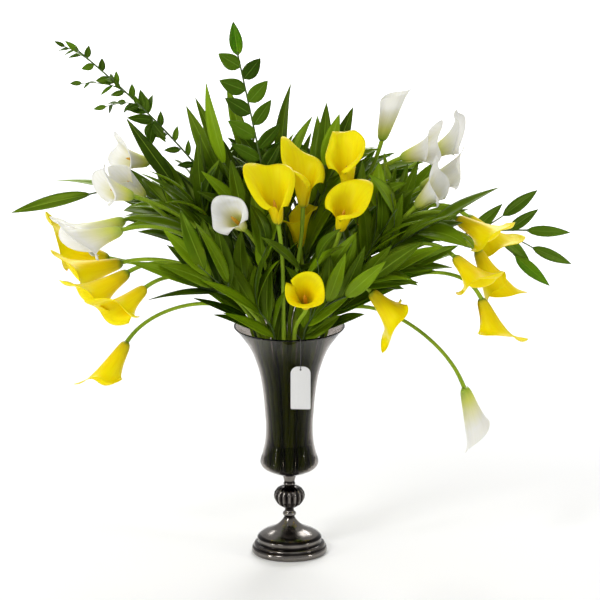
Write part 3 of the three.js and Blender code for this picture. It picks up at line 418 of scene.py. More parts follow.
# %% [markdown]
# ## The rule that places the stems
# The stems stand in eight clusters round the middle of the vase, one for each eighth of a turn. A stem runs
# upright through the water and the waist, leaves the mouth leaning outwards, and arcs to its end. Where the
# arc would touch what is already there, it is bowed a little. Curves drawn by hand could do the same, but
# the CAD source has this rule and these numbers, so each fine stem follows its faceted solid.

# %% Vectors and the room that is taken
DEGREE = math.pi / 180
UP = np.array([0.0, 0.0, 1.0])
BIGGEST_BALL = 5


def vec(*values):
    return np.array(values, float)


def mix(a, b, t):
    return a + (b - a) * t


def polar(radius, degrees, height):
    return vec(radius * math.cos(degrees * DEGREE), radius * math.sin(degrees * DEGREE), height)


class Room:
    """The room that is already taken, as balls with owners."""

    def __init__(self):
        self.balls = np.zeros((0, 4))
        self.owners = np.zeros(0, int)

    def take(self, places, radius, owner):
        places = np.array(places, float).reshape(-1, 3)
        self.balls = np.vstack([self.balls, np.column_stack([places, np.full(len(places), radius)])])
        self.owners = np.append(self.owners, np.full(len(places), owner))

    def is_free(self, places, radius, owner):
        places = np.array(places, float).reshape(-1, 3)
        if not len(places) or not len(self.balls):
            return True
        reach = radius + BIGGEST_BALL
        low, high = places.min(0) - reach, places.max(0) + reach
        near = np.all((self.balls[:, :3] >= low) & (self.balls[:, :3] <= high), axis=1)
        others = self.balls[near & (self.owners != owner)]
        apart = np.linalg.norm(places[:, None] - others[None, :, :3], axis=2)
        return bool(np.all(apart > radius + others[:, 3]))


room = Room()

# %% The line of a stem
SHOULDER_HEIGHT = 320
SHOULDER_SPREAD = 1.27
MOUTH_HEIGHT = 428
MOUTH_SPREAD = 2.2
ARC_START = 3
STEM_LEAN = 0.9
LEAN_REACH = 60
ARC_HANDLE = 0.35
TURN_PER_STRETCH = 27 * DEGREE
BALL_STEP = 5
BOWS = [
    (0, 0), (9, 0), (-9, 0), (0, 10), (18, 0), (-18, 0), (0, -10), (28, 8), (-28, 8), (38, 0), (-38, 0),
]


def stem_arc(plan, sideways, lift, shares):
    """Places on the arc from the mouth to the end of a stem, at shares of the way, and how it starts."""
    waist, end, end_direction = plan["waist"], plan["end"], plan["end_direction"]
    mouth = vec(waist[0] * MOUTH_SPREAD, waist[1] * MOUTH_SPREAD, MOUTH_HEIGHT)
    outward = vec(end[0] - mouth[0], end[1] - mouth[1], 0)
    across = np.linalg.norm(outward)
    rise = max(end[2] - mouth[2], 0)
    outward /= across
    start = unit(UP + outward * (STEM_LEAN * across / (across + rise + LEAN_REACH)))
    handle = ARC_HANDLE * np.linalg.norm(end - mouth)
    t = shares[:, None]
    arc = ((1 - t) ** 3 * mouth + 3 * (1 - t) ** 2 * t * (mouth + start * handle)
           + 3 * (1 - t) * t**2 * (end - end_direction * handle) + t**3 * end)
    bow = np.sin(math.pi * t) ** 2
    return arc + (np.cross(outward, UP) * sideways + UP * lift) * bow, start


def stem_shoulder(plan):
    return vec(plan["waist"][0] * SHOULDER_SPREAD, plan["waist"][1] * SHOULDER_SPREAD, SHOULDER_HEIGHT)


def stem_line(plan, sideways, lift):
    start = stem_arc(plan, 0, 0, np.zeros(1))[1]
    turn = math.acos(min(1, max(-1, start.dot(plan["end_direction"]))))
    count = 2 + math.ceil(turn / TURN_PER_STRETCH)
    arc = stem_arc(plan, sideways, lift, np.arange(count + 1) / count)[0]
    return np.vstack([plan["foot"], plan["waist"], stem_shoulder(plan), arc])


def places_along(points):
    places = []
    for start, end in zip(points, points[1:]):
        count = math.ceil(np.linalg.norm(end - start) / BALL_STEP)
        places += [start + (end - start) * (i / count) for i in range(count)]
    return places + [points[-1]]


def clear_stem_line(plan, radius, owner):
    """The stem's line with the first bow that is clear, or without one. The plan keeps the bow."""
    for bow in BOWS:
        line = stem_line(plan, *bow)
        if room.is_free(places_along(line[ARC_START:]), radius, owner):
            plan["bow"] = bow
            return line
    plan["bow"] = (0, 0)
    return stem_line(plan, 0, 0)


# %% [markdown]
# ## The shape of a calla
# A calla's bloom is one sheet, the spathe, rolled into a funnel round a finger-like spadix. One coordinate,
# u, runs from the base to the rim. The other, v, runs round the sheet from one margin to the other, with 0
# under the pointed tip. The slope of the sheet grows along u, which makes the trumpet. The back is longer
# than the margins, which overlap at the throat and roll outwards at the rim. Sculpting each bloom by hand
# would give more variety, but one rule with other lengths and angles gives all of them.

# %% The rule of the spathe
SPATHE_BASE_RADIUS = 4.2
START_ANGLE = 9
SWELL_RADIUS = 4.2
SWELL_REACH = 4
FLARE_POWER = 2.6
OPEN_POWER = 2.2
TIP_WIDTH, TIP_POWER = 0.15, 1.3
EDGE_START = 0.72
RUFFLES, WAVES = 7, 9
PROFILE_STEPS = 16


def spathe_places(bloom, u, v):
    """Radius from the bloom's axis and height along it, for places on the sheet."""
    side = np.abs(v)
    tip = np.exp(-((np.abs(v - bloom["tip_at"]) / TIP_WIDTH) ** TIP_POWER))
    share = 1 - bloom["low"] * side**2 + bloom["ruffle"] * np.cos(RUFFLES * v + bloom["phase"])
    reach = bloom["length"] * share + bloom["point"] * tip
    flare = mix(bloom["back"], bloom["side"], side)
    radius = SPATHE_BASE_RADIUS + SWELL_RADIUS * (1 - np.exp(-u * reach / SWELL_REACH))
    height = np.zeros(u.shape)
    for k in range(PROFILE_STEPS):
        along = u * (k + 0.5) / PROFILE_STEPS
        edge = np.maximum(along - EDGE_START, 0) / (1 - EDGE_START)
        angle = START_ANGLE + (flare - START_ANGLE) * along**FLARE_POWER
        angle = (angle + (bloom["roll"] * side**2 + bloom["curl"] * tip) * edge**2) * DEGREE
        radius += np.sin(angle) * reach * u / PROFILE_STEPS
        height += np.cos(angle) * reach * u / PROFILE_STEPS
    height += bloom["wave"] * np.sin(WAVES * v + bloom["length"]) * u**3
    return radius, height


def bloom_frame(bloom):
    axis = unit(vec(*bloom["axis"]))
    tip = vec(*bloom["tip"])
    tip = unit(tip - axis * tip.dot(axis))
    return vec(*bloom["at"]), np.array([tip, np.cross(axis, tip), axis])


def spathe_points(bloom, u, v, half_turn=180.0, spiral=0.0, share=1.0):
    """Places on the sheet in the arrangement. half_turn is how far it runs each way round its base, spiral
    sets the margins apart, and share draws the places in towards the bloom's axis."""
    radius, height = spathe_places(bloom, u, v)
    turn = v * mix(half_turn, bloom["open"], u**OPEN_POWER) * DEGREE
    radius = share * (radius + spiral * v * (1 - u))
    origin, axes = bloom_frame(bloom)
    return origin + np.stack([radius * np.cos(turn), radius * np.sin(turn), height], axis=-1) @ axes


# %% [markdown]
# ## Petal finishes
# A calla's spathe is smooth and satin, with fine veins that run from the base to the rim. The yellow one
# turns green where it meets the stem, and the white one keeps a green and cream throat. Light enters the
# sheet and glows through it, which the subsurface weight stands for. The UV map's second coordinate tells
# base from rim, so a ramp along it colours both kinds. The highlights take the petal's own tint.

# %% Spathe materials
def spathe_material(name, stops, vein_dark, glow, sheen):
    material = new_material(
        name, roughness=0.42, specular_ior_level=0.3, specular_tint=sheen,
        subsurface_weight=0.35, subsurface_radius=glow, subsurface_scale=0.003,
    )
    uv, _, along = sheet_space(material)
    blotch = noise(material, object_space(material), 22.0)
    body = ramp(material, varied(material, along, blotch, 0.16), stops)
    veins = noise(material, stretched(material, uv, (46, 2.2, 1)), 1.0, 2.0)
    veined = blend(material, 0.55, body, ramp(material, veins, [(0.38, vein_dark), (0.62, WHITE)]))
    shade = ramp(material, vertex_tone(material), [(0, (0.93, 0.93, 0.93)), (1, WHITE)])
    drive(material, "Base Color", blend(material, 1.0, veined, shade))
    bump(material, veins, 0.12, 0.6)
    return material


YELLOW_STOPS = [
    (0.02, (0.2, 0.3, 0.02)), (0.09, (0.72, 0.56, 0.01)), (0.3, (0.96, 0.7, 0.002)), (0.9, (1.0, 0.8, 0.002)),
]
WHITE_STOPS = [
    (0.02, (0.3, 0.45, 0.03)), (0.22, (0.68, 0.72, 0.12)), (0.46, (0.82, 0.8, 0.46)),
    (0.74, (0.86, 0.85, 0.79)),
]
spathe_finishes = {
    "yellow": spathe_material(
        "yellow spathe", YELLOW_STOPS, (0.95, 0.88, 0.6), (1.0, 0.5, 0.05), (1, 0.9, 0.2, 1),
    ),
    "white": spathe_material(
        "white spathe", WHITE_STOPS, (0.93, 0.93, 0.86), (1.0, 0.9, 0.6), (1, 1, 0.9, 1),
    ),
}

# %% Florets and stem green
spadix_florets = new_material("spadix florets", roughness=0.6)
cells = {"Vector": object_space(spadix_florets), "Scale": 620.0}
florets = add_node(spadix_florets, "TexVoronoi", cells).outputs["Distance"]
floret_stops = [(0, (0.9, 0.52, 0.02)), (0.8, (0.55, 0.26, 0.01))]
drive(spadix_florets, "Base Color", ramp(spadix_florets, florets, floret_stops))
bump(spadix_florets, number(spadix_florets, "SUBTRACT", 1.0, florets), 0.8, 0.8)

calla_green = new_material(
    "calla green", roughness=0.38, specular_ior_level=0.3, specular_tint=(0.8, 1, 0.4, 1),
)
space = object_space(calla_green)
stripes = noise(calla_green, stretched(calla_green, space, (900, 900, 40)), 1.0, 2.0)
patches = noise(calla_green, space, 16.0)
drive(calla_green, "Base Color", blend(
    calla_green, 0.5,
    ramp(calla_green, patches, [(0.3, (0.14, 0.26, 0.01)), (0.7, (0.38, 0.52, 0.03))]),
    ramp(calla_green, stripes, [(0.35, (0.16, 0.28, 0.01)), (0.65, (0.34, 0.48, 0.03))]),
    "MIX",
))
bump(calla_green, stripes, 0.2, 0.3)
print("petal finishes:", list(spathe_finishes))

# %% [markdown]
# ## The blooms of the arrangement
# Each row gives a bloom's colour, the cluster and the place in it where its stem stands, where its base is,
# the way that it looks, and the side of its long back. Five forms, from wide open to closed, carry what most
# blooms share, and a row changes what differs.

# %% List the blooms
OPEN = dict(
    length=114, back=22, side=72, curl=70, roll=80, open=140, wave=3, low=0.5, point=14, tip_at=0.0,
    ruffle=0.05, phase=0.0,
)
WIDE = dict(OPEN, length=96, back=52, side=76, curl=50, roll=50, low=0.3, point=10)
FUNNEL = dict(OPEN, length=110, back=38, side=64, curl=50, roll=60, low=0.32, point=12)
HALF_OPEN = dict(OPEN, length=104, back=18, side=36, curl=50, roll=50, open=154, low=0.36, point=12)
CLOSED = dict(
    OPEN, length=104, back=9, side=6, curl=20, roll=10, open=170, wave=0, low=0.3, point=12, ruffle=0.0,
)
blooms = []


def add_bloom(colour, cluster, place, at, axis, back_side, form, **changes):
    number_in_colour = 1 + sum(bloom["colour"] == colour for bloom in blooms)
    blooms.append(dict(
        form, number=number_in_colour, colour=colour, cluster=cluster, place=place,
        at=at, axis=axis, tip=back_side, **changes,
    ))


add_bloom(
    "yellow", 6, "outerLeft", (-19, -110, 633), (-0.16, -0.06, 0.97), (-0.3, 0.95, 0), OPEN, length=110,
    tip_at=0.2, ruffle=0.09, phase=-2.4,
)
add_bloom(
    "yellow", 6, "inner", (24, -54, 650), (0.0, -0.04, 0.99), (-0.8, 0.6, 0), OPEN, length=114, point=8,
    back=16, ruffle=0.07,
)
add_bloom(
    "yellow", 6, "right", (19, 14, 561), (-0.06, -0.3, 0.95), (0.8, -0.5, 0), HALF_OPEN, length=90,
    back=34, side=46, point=2,
)
add_bloom(
    "yellow", 6, "outerRight", (30, -114, 486), (-0.06, -0.74, 0.66), (0.8, -0.3, -0.5), WIDE, length=74,
    low=0.08, back=58, side=58, roll=20, open=172, ruffle=0.07, phase=2.0,
)
add_bloom(
    "yellow", 7, "inner", (102, -42, 677), (-0.04, -0.06, 0.99), (0.7, 0.7, 0), OPEN, length=100,
    tip_at=0.5, point=34, back=18, curl=50,
)
add_bloom(
    "yellow", 7, "left", (89, -84, 616), (0.16, -0.4, 0.9), (0.8, 0.55, 0.2), OPEN, length=98, point=8,
    back=42, low=0.46,
)
add_bloom(
    "yellow", 7, "outer", (142, -90, 508), (0.64, 0.04, -0.76), (-0.78, -0.2, -0.6), WIDE, length=98,
    side=84, back=56, point=16,
)
add_bloom(
    "yellow", 7, "right", (288, -95, 572), (0.6, -0.5, -0.56), (0.3, -0.3, 0.9), WIDE, length=96,
    curl=90,
)
add_bloom(
    "yellow", 0, "left", (294, -28, 624), (0.8, -0.3, -0.4), (0.3, -0.2, 0.9), FUNNEL, length=96,
    curl=90,
)
add_bloom(
    "yellow", 0, "outerLeft", (338, -50, 484), (0.36, -0.16, -0.88), (0.7, 0.1, 0.3), FUNNEL, length=92,
    point=22, curl=80,
)
add_bloom(
    "yellow", 0, "right", (332, 8, 558), (0.42, -0.2, -0.88), (-0.7, -0.2, -0.5), HALF_OPEN, length=96,
)
add_bloom("yellow", 1, "outer", (316, 60, 606), (0.66, 0.1, -0.7), (0.7, 0, 0.7), FUNNEL, length=100)
add_bloom("yellow", 1, "right", (340, 84, 528), (0.5, 0.1, -0.86), (0.7, 0, 0.7), HALF_OPEN, length=98)
add_bloom(
    "white", 0, "inner", (222, -48, 650), (0.62, -0.36, 0.7), (-0.6, 0.1, 0.7), OPEN, length=90, low=0.4,
)
add_bloom(
    "white", 0, "outerRight", (311, -4, 308), (0.3, -0.12, -0.95), (-0.6, 0, 0), CLOSED, length=106,
    back=8, side=22, curl=40,
)
add_bloom("white", 1, "inner", (196, 16, 722), (0.9, -0.2, 0.36), (0.1, 0.4, 0.9), FUNNEL, length=84)
add_bloom("white", 1, "left", (232, 48, 660), (0.9, 0.1, 0.4), (0, 0.4, 0.9), HALF_OPEN, length=94)
add_bloom(
    "white", 2, "inner", (164, 62, 744), (0.24, 0.04, 0.96), (0.7, 0, 0.2), CLOSED, length=94, back=9,
    side=12,
)
add_bloom(
    "white", 2, "left", (250, 108, 706), (0.8, -0.1, 0.5), (0.1, 0.1, 0.9), WIDE, length=86, point=26,
    ruffle=0.12, phase=3.0,
)
add_bloom("yellow", 2, "outer", (80, 235, 540), (0.2, 0.9, 0.2), (0.1, -0.3, 0.9), OPEN)
add_bloom("white", 2, "right", (-70, 225, 540), (-0.2, 0.92, 0.2), (0, -0.3, 0.9), OPEN)
add_bloom(
    "yellow", 3, "outer", (-322, 78, 524), (-0.95, 0.1, 0.2), (-0.2, 0, 0.9), FUNNEL, length=112,
    point=30,
)
add_bloom(
    "white", 3, "inner", (-250, 86, 698), (-0.86, -0.42, 0.26), (-0.2, 0, 0.9), WIDE, length=76,
    ruffle=0.12, phase=1.0,
)
add_bloom("white", 3, "left", (-256, 4, 654), (-0.6, -0.3, 0.7), (-0.6, 0, 0.5), CLOSED, length=72)
add_bloom(
    "white", 4, "inner", (-272, -62, 672), (-0.86, -0.36, 0.34), (-0.1, 0, 0.9), WIDE, length=80,
    ruffle=0.12, phase=2.0,
)
add_bloom(
    "white", 4, "left", (-290, -8, 616), (-0.9, -0.3, -0.3), (-0.2, 0, 0.9), FUNNEL, length=116,
    ruffle=0.1,
)
add_bloom("yellow", 4, "right", (-296, 18, 532), (-0.94, -0.2, -0.2), (-0.4, 0, 0.9), FUNNEL, length=116)
add_bloom(
    "yellow", 4, "outer", (-288, -20, 396), (-0.5, -0.36, -0.78), (-0.75, 0, 0.4), FUNNEL, length=102,
    side=34, back=24,
)
add_bloom(
    "white", 5, "left", (-290, -128, 628), (-0.9, -0.36, -0.2), (0.1, 0.1, 0.9), FUNNEL, length=114,
    ruffle=0.1, phase=2.0,
)
add_bloom(
    "yellow", 5, "outerLeft", (-280, -110, 548), (-0.8, -0.4, -0.44), (-0.3, -0.1, 0.9), FUNNEL,
    length=114, back=46,
)
add_bloom(
    "yellow", 5, "outerRight", (-250, -150, 530), (-0.66, -0.6, -0.44), (-0.5, 0.2, 0.8), FUNNEL,
    length=102, back=46,
)
add_bloom(
    "white", 5, "inner", (-78, -96, 622), (-0.5, -0.6, 0.62), (-0.6, 0.3, 0.7), WIDE, length=70, point=4,
    back=56, low=0.2,
)
print("blooms:", len(blooms))

# %% [markdown]
# ## Calla stems
# Each bloom stands on a fleshy, leafless stem. It is a tube that swells a little under the bloom and is cut
# square at the foot. Its line is sampled from the same arc as the CAD stem, only finer, and then smoothed,
# because a living stem has no kink at the mouth of the vase. It starts a little above the CAD stem's foot,
# so that no cut end enters the floor of the bowl.

# %% Place the blooms and find the stems' lines
CLUSTER_NAMES = ["right", "back_right", "back", "back_left", "left", "front_left", "front", "front_right"]
CLUSTER_TURN = 360 / len(CLUSTER_NAMES)
CLUSTER_RADIUS = 23.3
CALLA_PLACES = {
    "inner": (14.5, 0), "left": (CLUSTER_RADIUS, -9.8), "right": (CLUSTER_RADIUS, 9.8),
    "outer": (32, 0), "outerLeft": (32, -8), "outerRight": (32, 8),
}
WAIST_HEIGHT = 233
STEM_FOOT = INNER_FLOOR + SEAT_GAP
CONVERGE = 0.42
CALLA_RADIUS = 3.9
BLOOM_BALL = 4.2
BALL_ROWS, BALL_COLUMNS = 7, 8
BALL_SHELLS = (1, 0.62, 0.28)


def bloom_balls(bloom):
    """Places all over the sheet, and on two smaller shells inside it."""
    rows = np.arange(1, BALL_ROWS + 1) / BALL_ROWS
    columns = np.arange(-BALL_COLUMNS, BALL_COLUMNS + 1) / BALL_COLUMNS
    u, v = [grid.ravel() for grid in np.meshgrid(rows, columns, indexing="ij")]
    return np.vstack([spathe_points(bloom, u, v, share=share) for share in BALL_SHELLS])


def calla_plan(bloom):
    radius, degrees = CALLA_PLACES[bloom["place"]]
    heading = bloom["cluster"] * CLUSTER_TURN
    waist = polar(radius, heading + degrees, WAIST_HEIGHT)
    middle = polar(CLUSTER_RADIUS, heading, STEM_FOOT)
    foot = middle + (vec(waist[0], waist[1], STEM_FOOT) - middle) * CONVERGE
    end_direction = unit(vec(*bloom["axis"]))
    end = vec(*bloom["at"]) - end_direction * SEAT_GAP
    return dict(foot=foot, waist=waist, end=end, end_direction=end_direction)


for owner, bloom in enumerate(blooms):
    room.take(bloom_balls(bloom), BLOOM_BALL, owner)
for owner, bloom in enumerate(blooms):
    bloom["plan"] = calla_plan(bloom)
    line = clear_stem_line(bloom["plan"], CALLA_RADIUS + SEAT_GAP, owner)
    room.take(places_along(line[ARC_START:]), CALLA_RADIUS + SEAT_GAP, owner)
print("stems that are bowed:", sum(bloom["plan"]["bow"] != (0, 0) for bloom in blooms))

# %% Grow the calla stems
FOOT_LIFT = 1.2
LOWER_STEPS, ARC_STEPS = 9, 30
SMOOTH_ROUNDS = 3
CALLA_TOP_RADIUS = 3.4
TAPER, TAPER_START = 2, 0.6
SWELL, SWELL_POWER = 0.9, 16
INTO_BLOOM = 2.5
STALK_SIDES = 12


def fine_line(plan):
    """The stem's line through the foot, the waist and the arc, smoothed where they meet."""
    arc = stem_arc(plan, *plan["bow"], np.arange(ARC_STEPS + 1) / ARC_STEPS)[0]
    corners = [plan["foot"] + UP * FOOT_LIFT, plan["waist"], stem_shoulder(plan), arc[0]]
    shares = np.arange(LOWER_STEPS) / LOWER_STEPS
    lower = [mix(start, end, share) for start, end in zip(corners, corners[1:]) for share in shares]
    line = np.vstack([lower, arc])
    for _ in range(SMOOTH_ROUNDS):
        line[1:-1] = (line[:-2] + 2 * line[1:-1] + line[2:]) / 4
    return line


for cluster, side in enumerate(CLUSTER_NAMES):
    stems = bmesh.new()
    for bloom in blooms:
        if bloom["cluster"] != cluster:
            continue
        line = fine_line(bloom["plan"])
        line = np.vstack([line, line[-1] + bloom["plan"]["end_direction"] * INTO_BLOOM])
        shares = np.linspace(0, 1, len(line))
        taper = np.clip(TAPER * shares - TAPER_START, 0, 1)
        radii = mix(CALLA_RADIUS, CALLA_TOP_RADIUS, taper) + SWELL * shares**SWELL_POWER
        tube(stems, line, radii, STALK_SIDES)
    finish_piece(f"calla_stalks_{side}", stems, [calla_green], f"calla_stems_{side}")

# %% [markdown]
# ## Calla blooms
# The spathe is a fine grid under the same rule as the CAD sheet. Here the margins overlap in a spiral at the
# throat, as they do on the flower, and the sheet is then given its thickness. Inside it stands the spadix,
# a rounded finger of tiny florets, which is a tube with its radii given by a formula.

# %% Shape the blooms
SPATHE_ACROSS, SPATHE_ALONG = 36, 30
OVERLAP_TURN, OVERLAP_SPIRAL = 196, -1.4
SPATHE_THICKNESS = 0.8
SPADIX_START, SPADIX_LENGTH = 2, 44
SPADIX_ROWS, SPADIX_SIDES = 26, 14
SPADIX_RADIUS, SPADIX_SWELL, SPADIX_FULLNESS = 2.0, 1.5, 0.6
SWELL_REPEAT, SWELL_DELAY = 1.15, 0.1
END_ROOM, END_POWER = 1.04, 8
TONE_STEP = 0.618


def add_spathe(bm, bloom, across, along, tone=0.5):
    def rule(s, t):
        return spathe_points(bloom, t, 2 * s - 1, OVERLAP_TURN, OVERLAP_SPIRAL)

    return bend_sheet(bm, across, along, rule, tone=tone)[1]


def add_spadix(bm, bloom):
    origin, axes = bloom_frame(bloom)
    shares = np.linspace(0, 1, SPADIX_ROWS)
    swell = np.sin(math.pi * np.clip(shares * SWELL_REPEAT - SWELL_DELAY, 0, 1)) ** SPADIX_FULLNESS
    round_end = np.sqrt(np.clip(END_ROOM - shares**END_POWER, 0, 1))
    places = np.array([origin + axes[2] * (SPADIX_START + SPADIX_LENGTH * share) for share in shares])
    tube(bm, places, (SPADIX_RADIUS + SPADIX_SWELL * swell) * round_end, SPADIX_SIDES, material_index=1)


for index, bloom in enumerate(blooms):
    colour, number_in_colour = bloom["colour"], bloom["number"]
    bm = bmesh.new()
    sheet_faces = add_spathe(bm, bloom, SPATHE_ACROSS, SPATHE_ALONG, index * TONE_STEP % 1)
    bmesh.ops.solidify(bm, geom=sheet_faces, thickness=SPATHE_THICKNESS)
    add_spadix(bm, bloom)
    finish_piece(
        f"{colour}_calla_{number_in_colour:02d}", bm, [spathe_finishes[colour], spadix_florets],
        f"{colour}_bloom_{number_in_colour:02d}",
    )

# %% [markdown]
# ## How the greenery grows
# A leafy stem carries leaves in a spiral, each turned from the last by about 137.5 degrees, and a spray of
# ruscus carries them in two rows. The CAD source draws each leaf from a repeatable run of numbers and takes
# the first turn and length that leave everything else clear. The same run and the same tests give the same
# leaves here. A second run then adds the smaller leaves that the CAD model leaves out. Leaves strewn by
# particles would be quicker, but they would cut each other and couldn't follow the CAD model.

# %% The shape of a leaf
LEAF_FOLD = 0.28
LEAF_TIP, LEAF_BELLY, LEAF_FULLNESS = 0.999, 0.75, 0.9
FLATTEST_ARCH = 0.001
LEAF_BALL_STEP = 7
LEAF_ACROSS = np.array([-1, -0.5, 0, 0.5, 1])


def leaf_places(leaf, t, across):
    """Places on a leaf that is arched along its length, twisted, and folded along its midrib."""
    bend = leaf["arch"] * t * DEGREE
    curve = max(leaf["arch"] * DEGREE, FLATTEST_ARCH)
    direction, up = leaf["direction"], leaf["up"]
    sine, cosine = np.sin(bend)[:, None], np.cos(bend)[:, None]
    length = leaf["length"]
    middle = leaf["base"] + direction * (length * sine / curve) - up * (length * (1 - cosine) / curve)
    along = direction * cosine - up * sine
    normal = up * cosine + direction * sine
    side = np.cross(along, normal)
    twist = (leaf["twist"] * t * DEGREE)[:, None]
    sine, cosine = np.sin(twist), np.cos(twist)
    side, normal = side * cosine - normal * sine, normal * cosine + side * sine
    outline = np.sin(math.pi * np.minimum(t, LEAF_TIP) ** LEAF_BELLY) ** LEAF_FULLNESS
    half = (leaf["width"] / 2 * outline)[:, None]
    across = across[:, None]
    return middle + side * across * half + normal * (np.abs(across) * half * LEAF_FOLD)


def leaf_balls(leaf):
    rows = math.ceil(leaf["length"] / LEAF_BALL_STEP)
    t = np.repeat(np.arange(1, rows + 1) / rows, len(LEAF_ACROSS))
    return leaf_places(leaf, t, np.tile(LEAF_ACROSS, rows))


# %% [markdown]
# ## The tests that a leaf has to pass
# A leaf may not fill room that is taken, hide a bloom from the camera, or point straight at it. The added
# leaves, apart from those of the twigs, also stay inside the outline of the greenery. They may stand so close
# together that balls no longer tell whether two leaves cut each other, so each of them is also held against
# the meshes of what has grown.

# %% Keep the blooms in sight and the greenery in its outline
FRONT_LIMIT = 200
BLOOM_MIDDLE, BLOOM_HALF, BLOOM_BACK = 0.6, 0.36, -10
OUTLINE_CENTRE = vec(15, 52, 450)
OUTLINE_HALF = vec(350, 272, 300)
OUTLINE_POWER = 2.6
MOUTH_EDGE = 90
LOWEST_LEAF = 422
UNDERSIDE_SLOPE = 0.6
SIGHT = np.array(sight)
SIGHT_UP = np.array(sight_up)
front_blooms = [bloom for bloom in blooms if bloom["at"][1] < FRONT_LIMIT]


def hides_bloom(balls, judged):
    for bloom in judged:
        centre = vec(*bloom["at"]) + unit(vec(*bloom["axis"])) * bloom["length"] * BLOOM_MIDDLE
        apart = balls - centre
        aside = np.hypot(apart[:, 0], apart @ SIGHT_UP)
        if np.any((apart @ SIGHT > BLOOM_BACK) & (aside < bloom["length"] * BLOOM_HALF)):
            return True
    return False


def in_outline(balls):
    """True where all places are within the greenery's rounded outline and above its sloping underside."""
    within = (np.abs((balls - OUTLINE_CENTRE) / OUTLINE_HALF) ** OUTLINE_POWER).sum(axis=1) < 1
    out = np.maximum(np.hypot(balls[:, 0], balls[:, 1]) - MOUTH_EDGE, 0)
    above = (balls[:, 2] > LOWEST_LEAF + UNDERSIDE_SLOPE * out) | (out == 0)
    return bool(np.all(within & above))


# %% Hold a leaf against what has grown
NO_OWNER = -1
SHEET_START = 0.08
SHEET_GAP = 0.8
SHEET_ACROSS, SHEET_ALONG = 4, 9


class Grown:
    """What has grown, as meshes that a new leaf may not cut. The owner's own leaves may touch a mesh."""

    def __init__(self):
        self.boxes = np.zeros((0, 2, 3))
        self.trees = []
        self.owners = np.zeros(0, int)

    def add(self, bm, owner):
        places = np.array([vert.co[:] for vert in bm.verts])
        self.boxes = np.concatenate([self.boxes, [[places.min(0), places.max(0)]]])
        self.owners = np.append(self.owners, owner)
        self.trees.append(BVHTree.FromBMesh(bm))
        bm.free()

    def is_cut_by(self, bm, owner):
        places = np.array([vert.co[:] for vert in bm.verts])
        near = np.all((self.boxes[:, 0] < places.max(0)) & (self.boxes[:, 1] > places.min(0)), axis=1)
        tree = BVHTree.FromBMesh(bm)
        bm.free()
        return any(self.trees[k].overlap(tree) for k in np.flatnonzero(near & (self.owners != owner)))


grown = Grown()


def leaf_sheet(leaf, lifts=(0,)):
    """The leaf as a coarse sheet, without its root. Two lifts give a sheet on each side of the blade."""
    bm = bmesh.new()
    for lift in lifts:
        bend_sheet(
            bm, SHEET_ACROSS, SHEET_ALONG,
            lambda s, t: leaf_places(leaf, mix(SHEET_START, 1, t), 2 * s - 1) + leaf["up"] * lift,
        )
    return bm


# %% Find a clear turn and length for a leaf
TURN_TRIES = (0, 35, -35, 70, -70, 110, -110, 180)
LENGTH_TRIES = (1, 0.82, 0.66)
LEAF_CLEARANCE = 2.7
NEAR_NODE = 16
FACING_LIMIT = 0.75
FAN_CENTRE = vec(0, 0, 330)
BACK_LEAVES = 70
FRONT_LIGHT, BACK_LIGHT = vec(0, -0.9, 0.8), vec(0, 0.9, 0.8)
PULL_TO_STEM = 0.5


def away_from(point, balls):
    return balls[np.linalg.norm(balls - point, axis=1) > NEAR_NODE]


def passes_tests(leaf, owner, taken, clearance, bounded):
    """taken is the room of the stem's own leaves. bounded keeps an added leaf in the outline."""
    balls = leaf_balls(leaf)
    return (
        room.is_free(balls, clearance, owner)
        and taken.is_free(away_from(leaf["base"], balls), clearance, NO_OWNER)
        and not hides_bloom(balls, front_blooms if bounded else blooms)
        and (in_outline(balls) or not bounded)
        and (clearance >= LEAF_CLEARANCE
             or not grown.is_cut_by(leaf_sheet(leaf, (-SHEET_GAP, SHEET_GAP)), owner))
    )


def clear_leaf(plan, node, owner, taken, clearance, bounded):
    """The leaf of a plan with the first length and turn that pass the tests, or None."""
    point, direction = node
    if not plan["flat"]:
        direction = unit(direction + unit(point - FAN_CENTRE) * plan["fan"])
    reference = unit(np.cross(direction, SIGHT))
    face = np.cross(reference, direction)
    angle = plan["angle"] * DEGREE
    light = FRONT_LIGHT if point[1] < BACK_LEAVES else BACK_LIGHT
    for share in LENGTH_TRIES:
        for extra in TURN_TRIES:
            around = (plan["around"] + extra) * DEGREE
            outward = reference * math.cos(around) + face * math.sin(around)
            heading = direction * math.cos(angle) + outward * math.sin(angle)
            if heading.dot(SIGHT) > FACING_LIMIT:
                continue
            inner = direction * math.sin(angle) - outward * math.cos(angle)
            up = face if plan["flat"] else inner * PULL_TO_STEM + light
            up = unit(up - heading * up.dot(heading))
            leaf = dict(plan, base=point, direction=heading, up=up, length=plan["length"] * share)
            if passes_tests(leaf, owner, taken, clearance, bounded):
                return leaf
            if plan["flat"]:
                break
    return None


# %% [markdown]
# ## Stems, shoots and the leaves on them
# A leafy stem follows the same kind of line as a calla stem and ends where its last leaf starts. A shoot
# leaves it on a simple arc. The sizes and turns of leaves are drawn from a repeatable run of numbers, so that
# every build gives the same plant.

# %% Helpers for stems, shoots and leaves
REACH_FROM = vec(0, 0, 400)
LEAF_BEYOND_END = 0.95
SHOOT_HANDLE = 0.4
RUN_FACTOR, RUN_LENGTH = 16807, 2**31 - 1
LEAF_TURN, TURN_SCATTER = 137.5, 40
LAST_LEAF_ANGLE = 4
LEAST_ARCH, MOST_TWIST = 8, 35
SIZE_RANGE, ANGLE_RANGE, WIDTH_RANGE = (0.85, 1.15), (0.85, 1.2), (0.85, 1.1)
SPRAY_END_SIZE, SPRAY_ARCH, SPRAY_TWIST = 0.7, 0.6, 0.3
STEM_END = 0.985


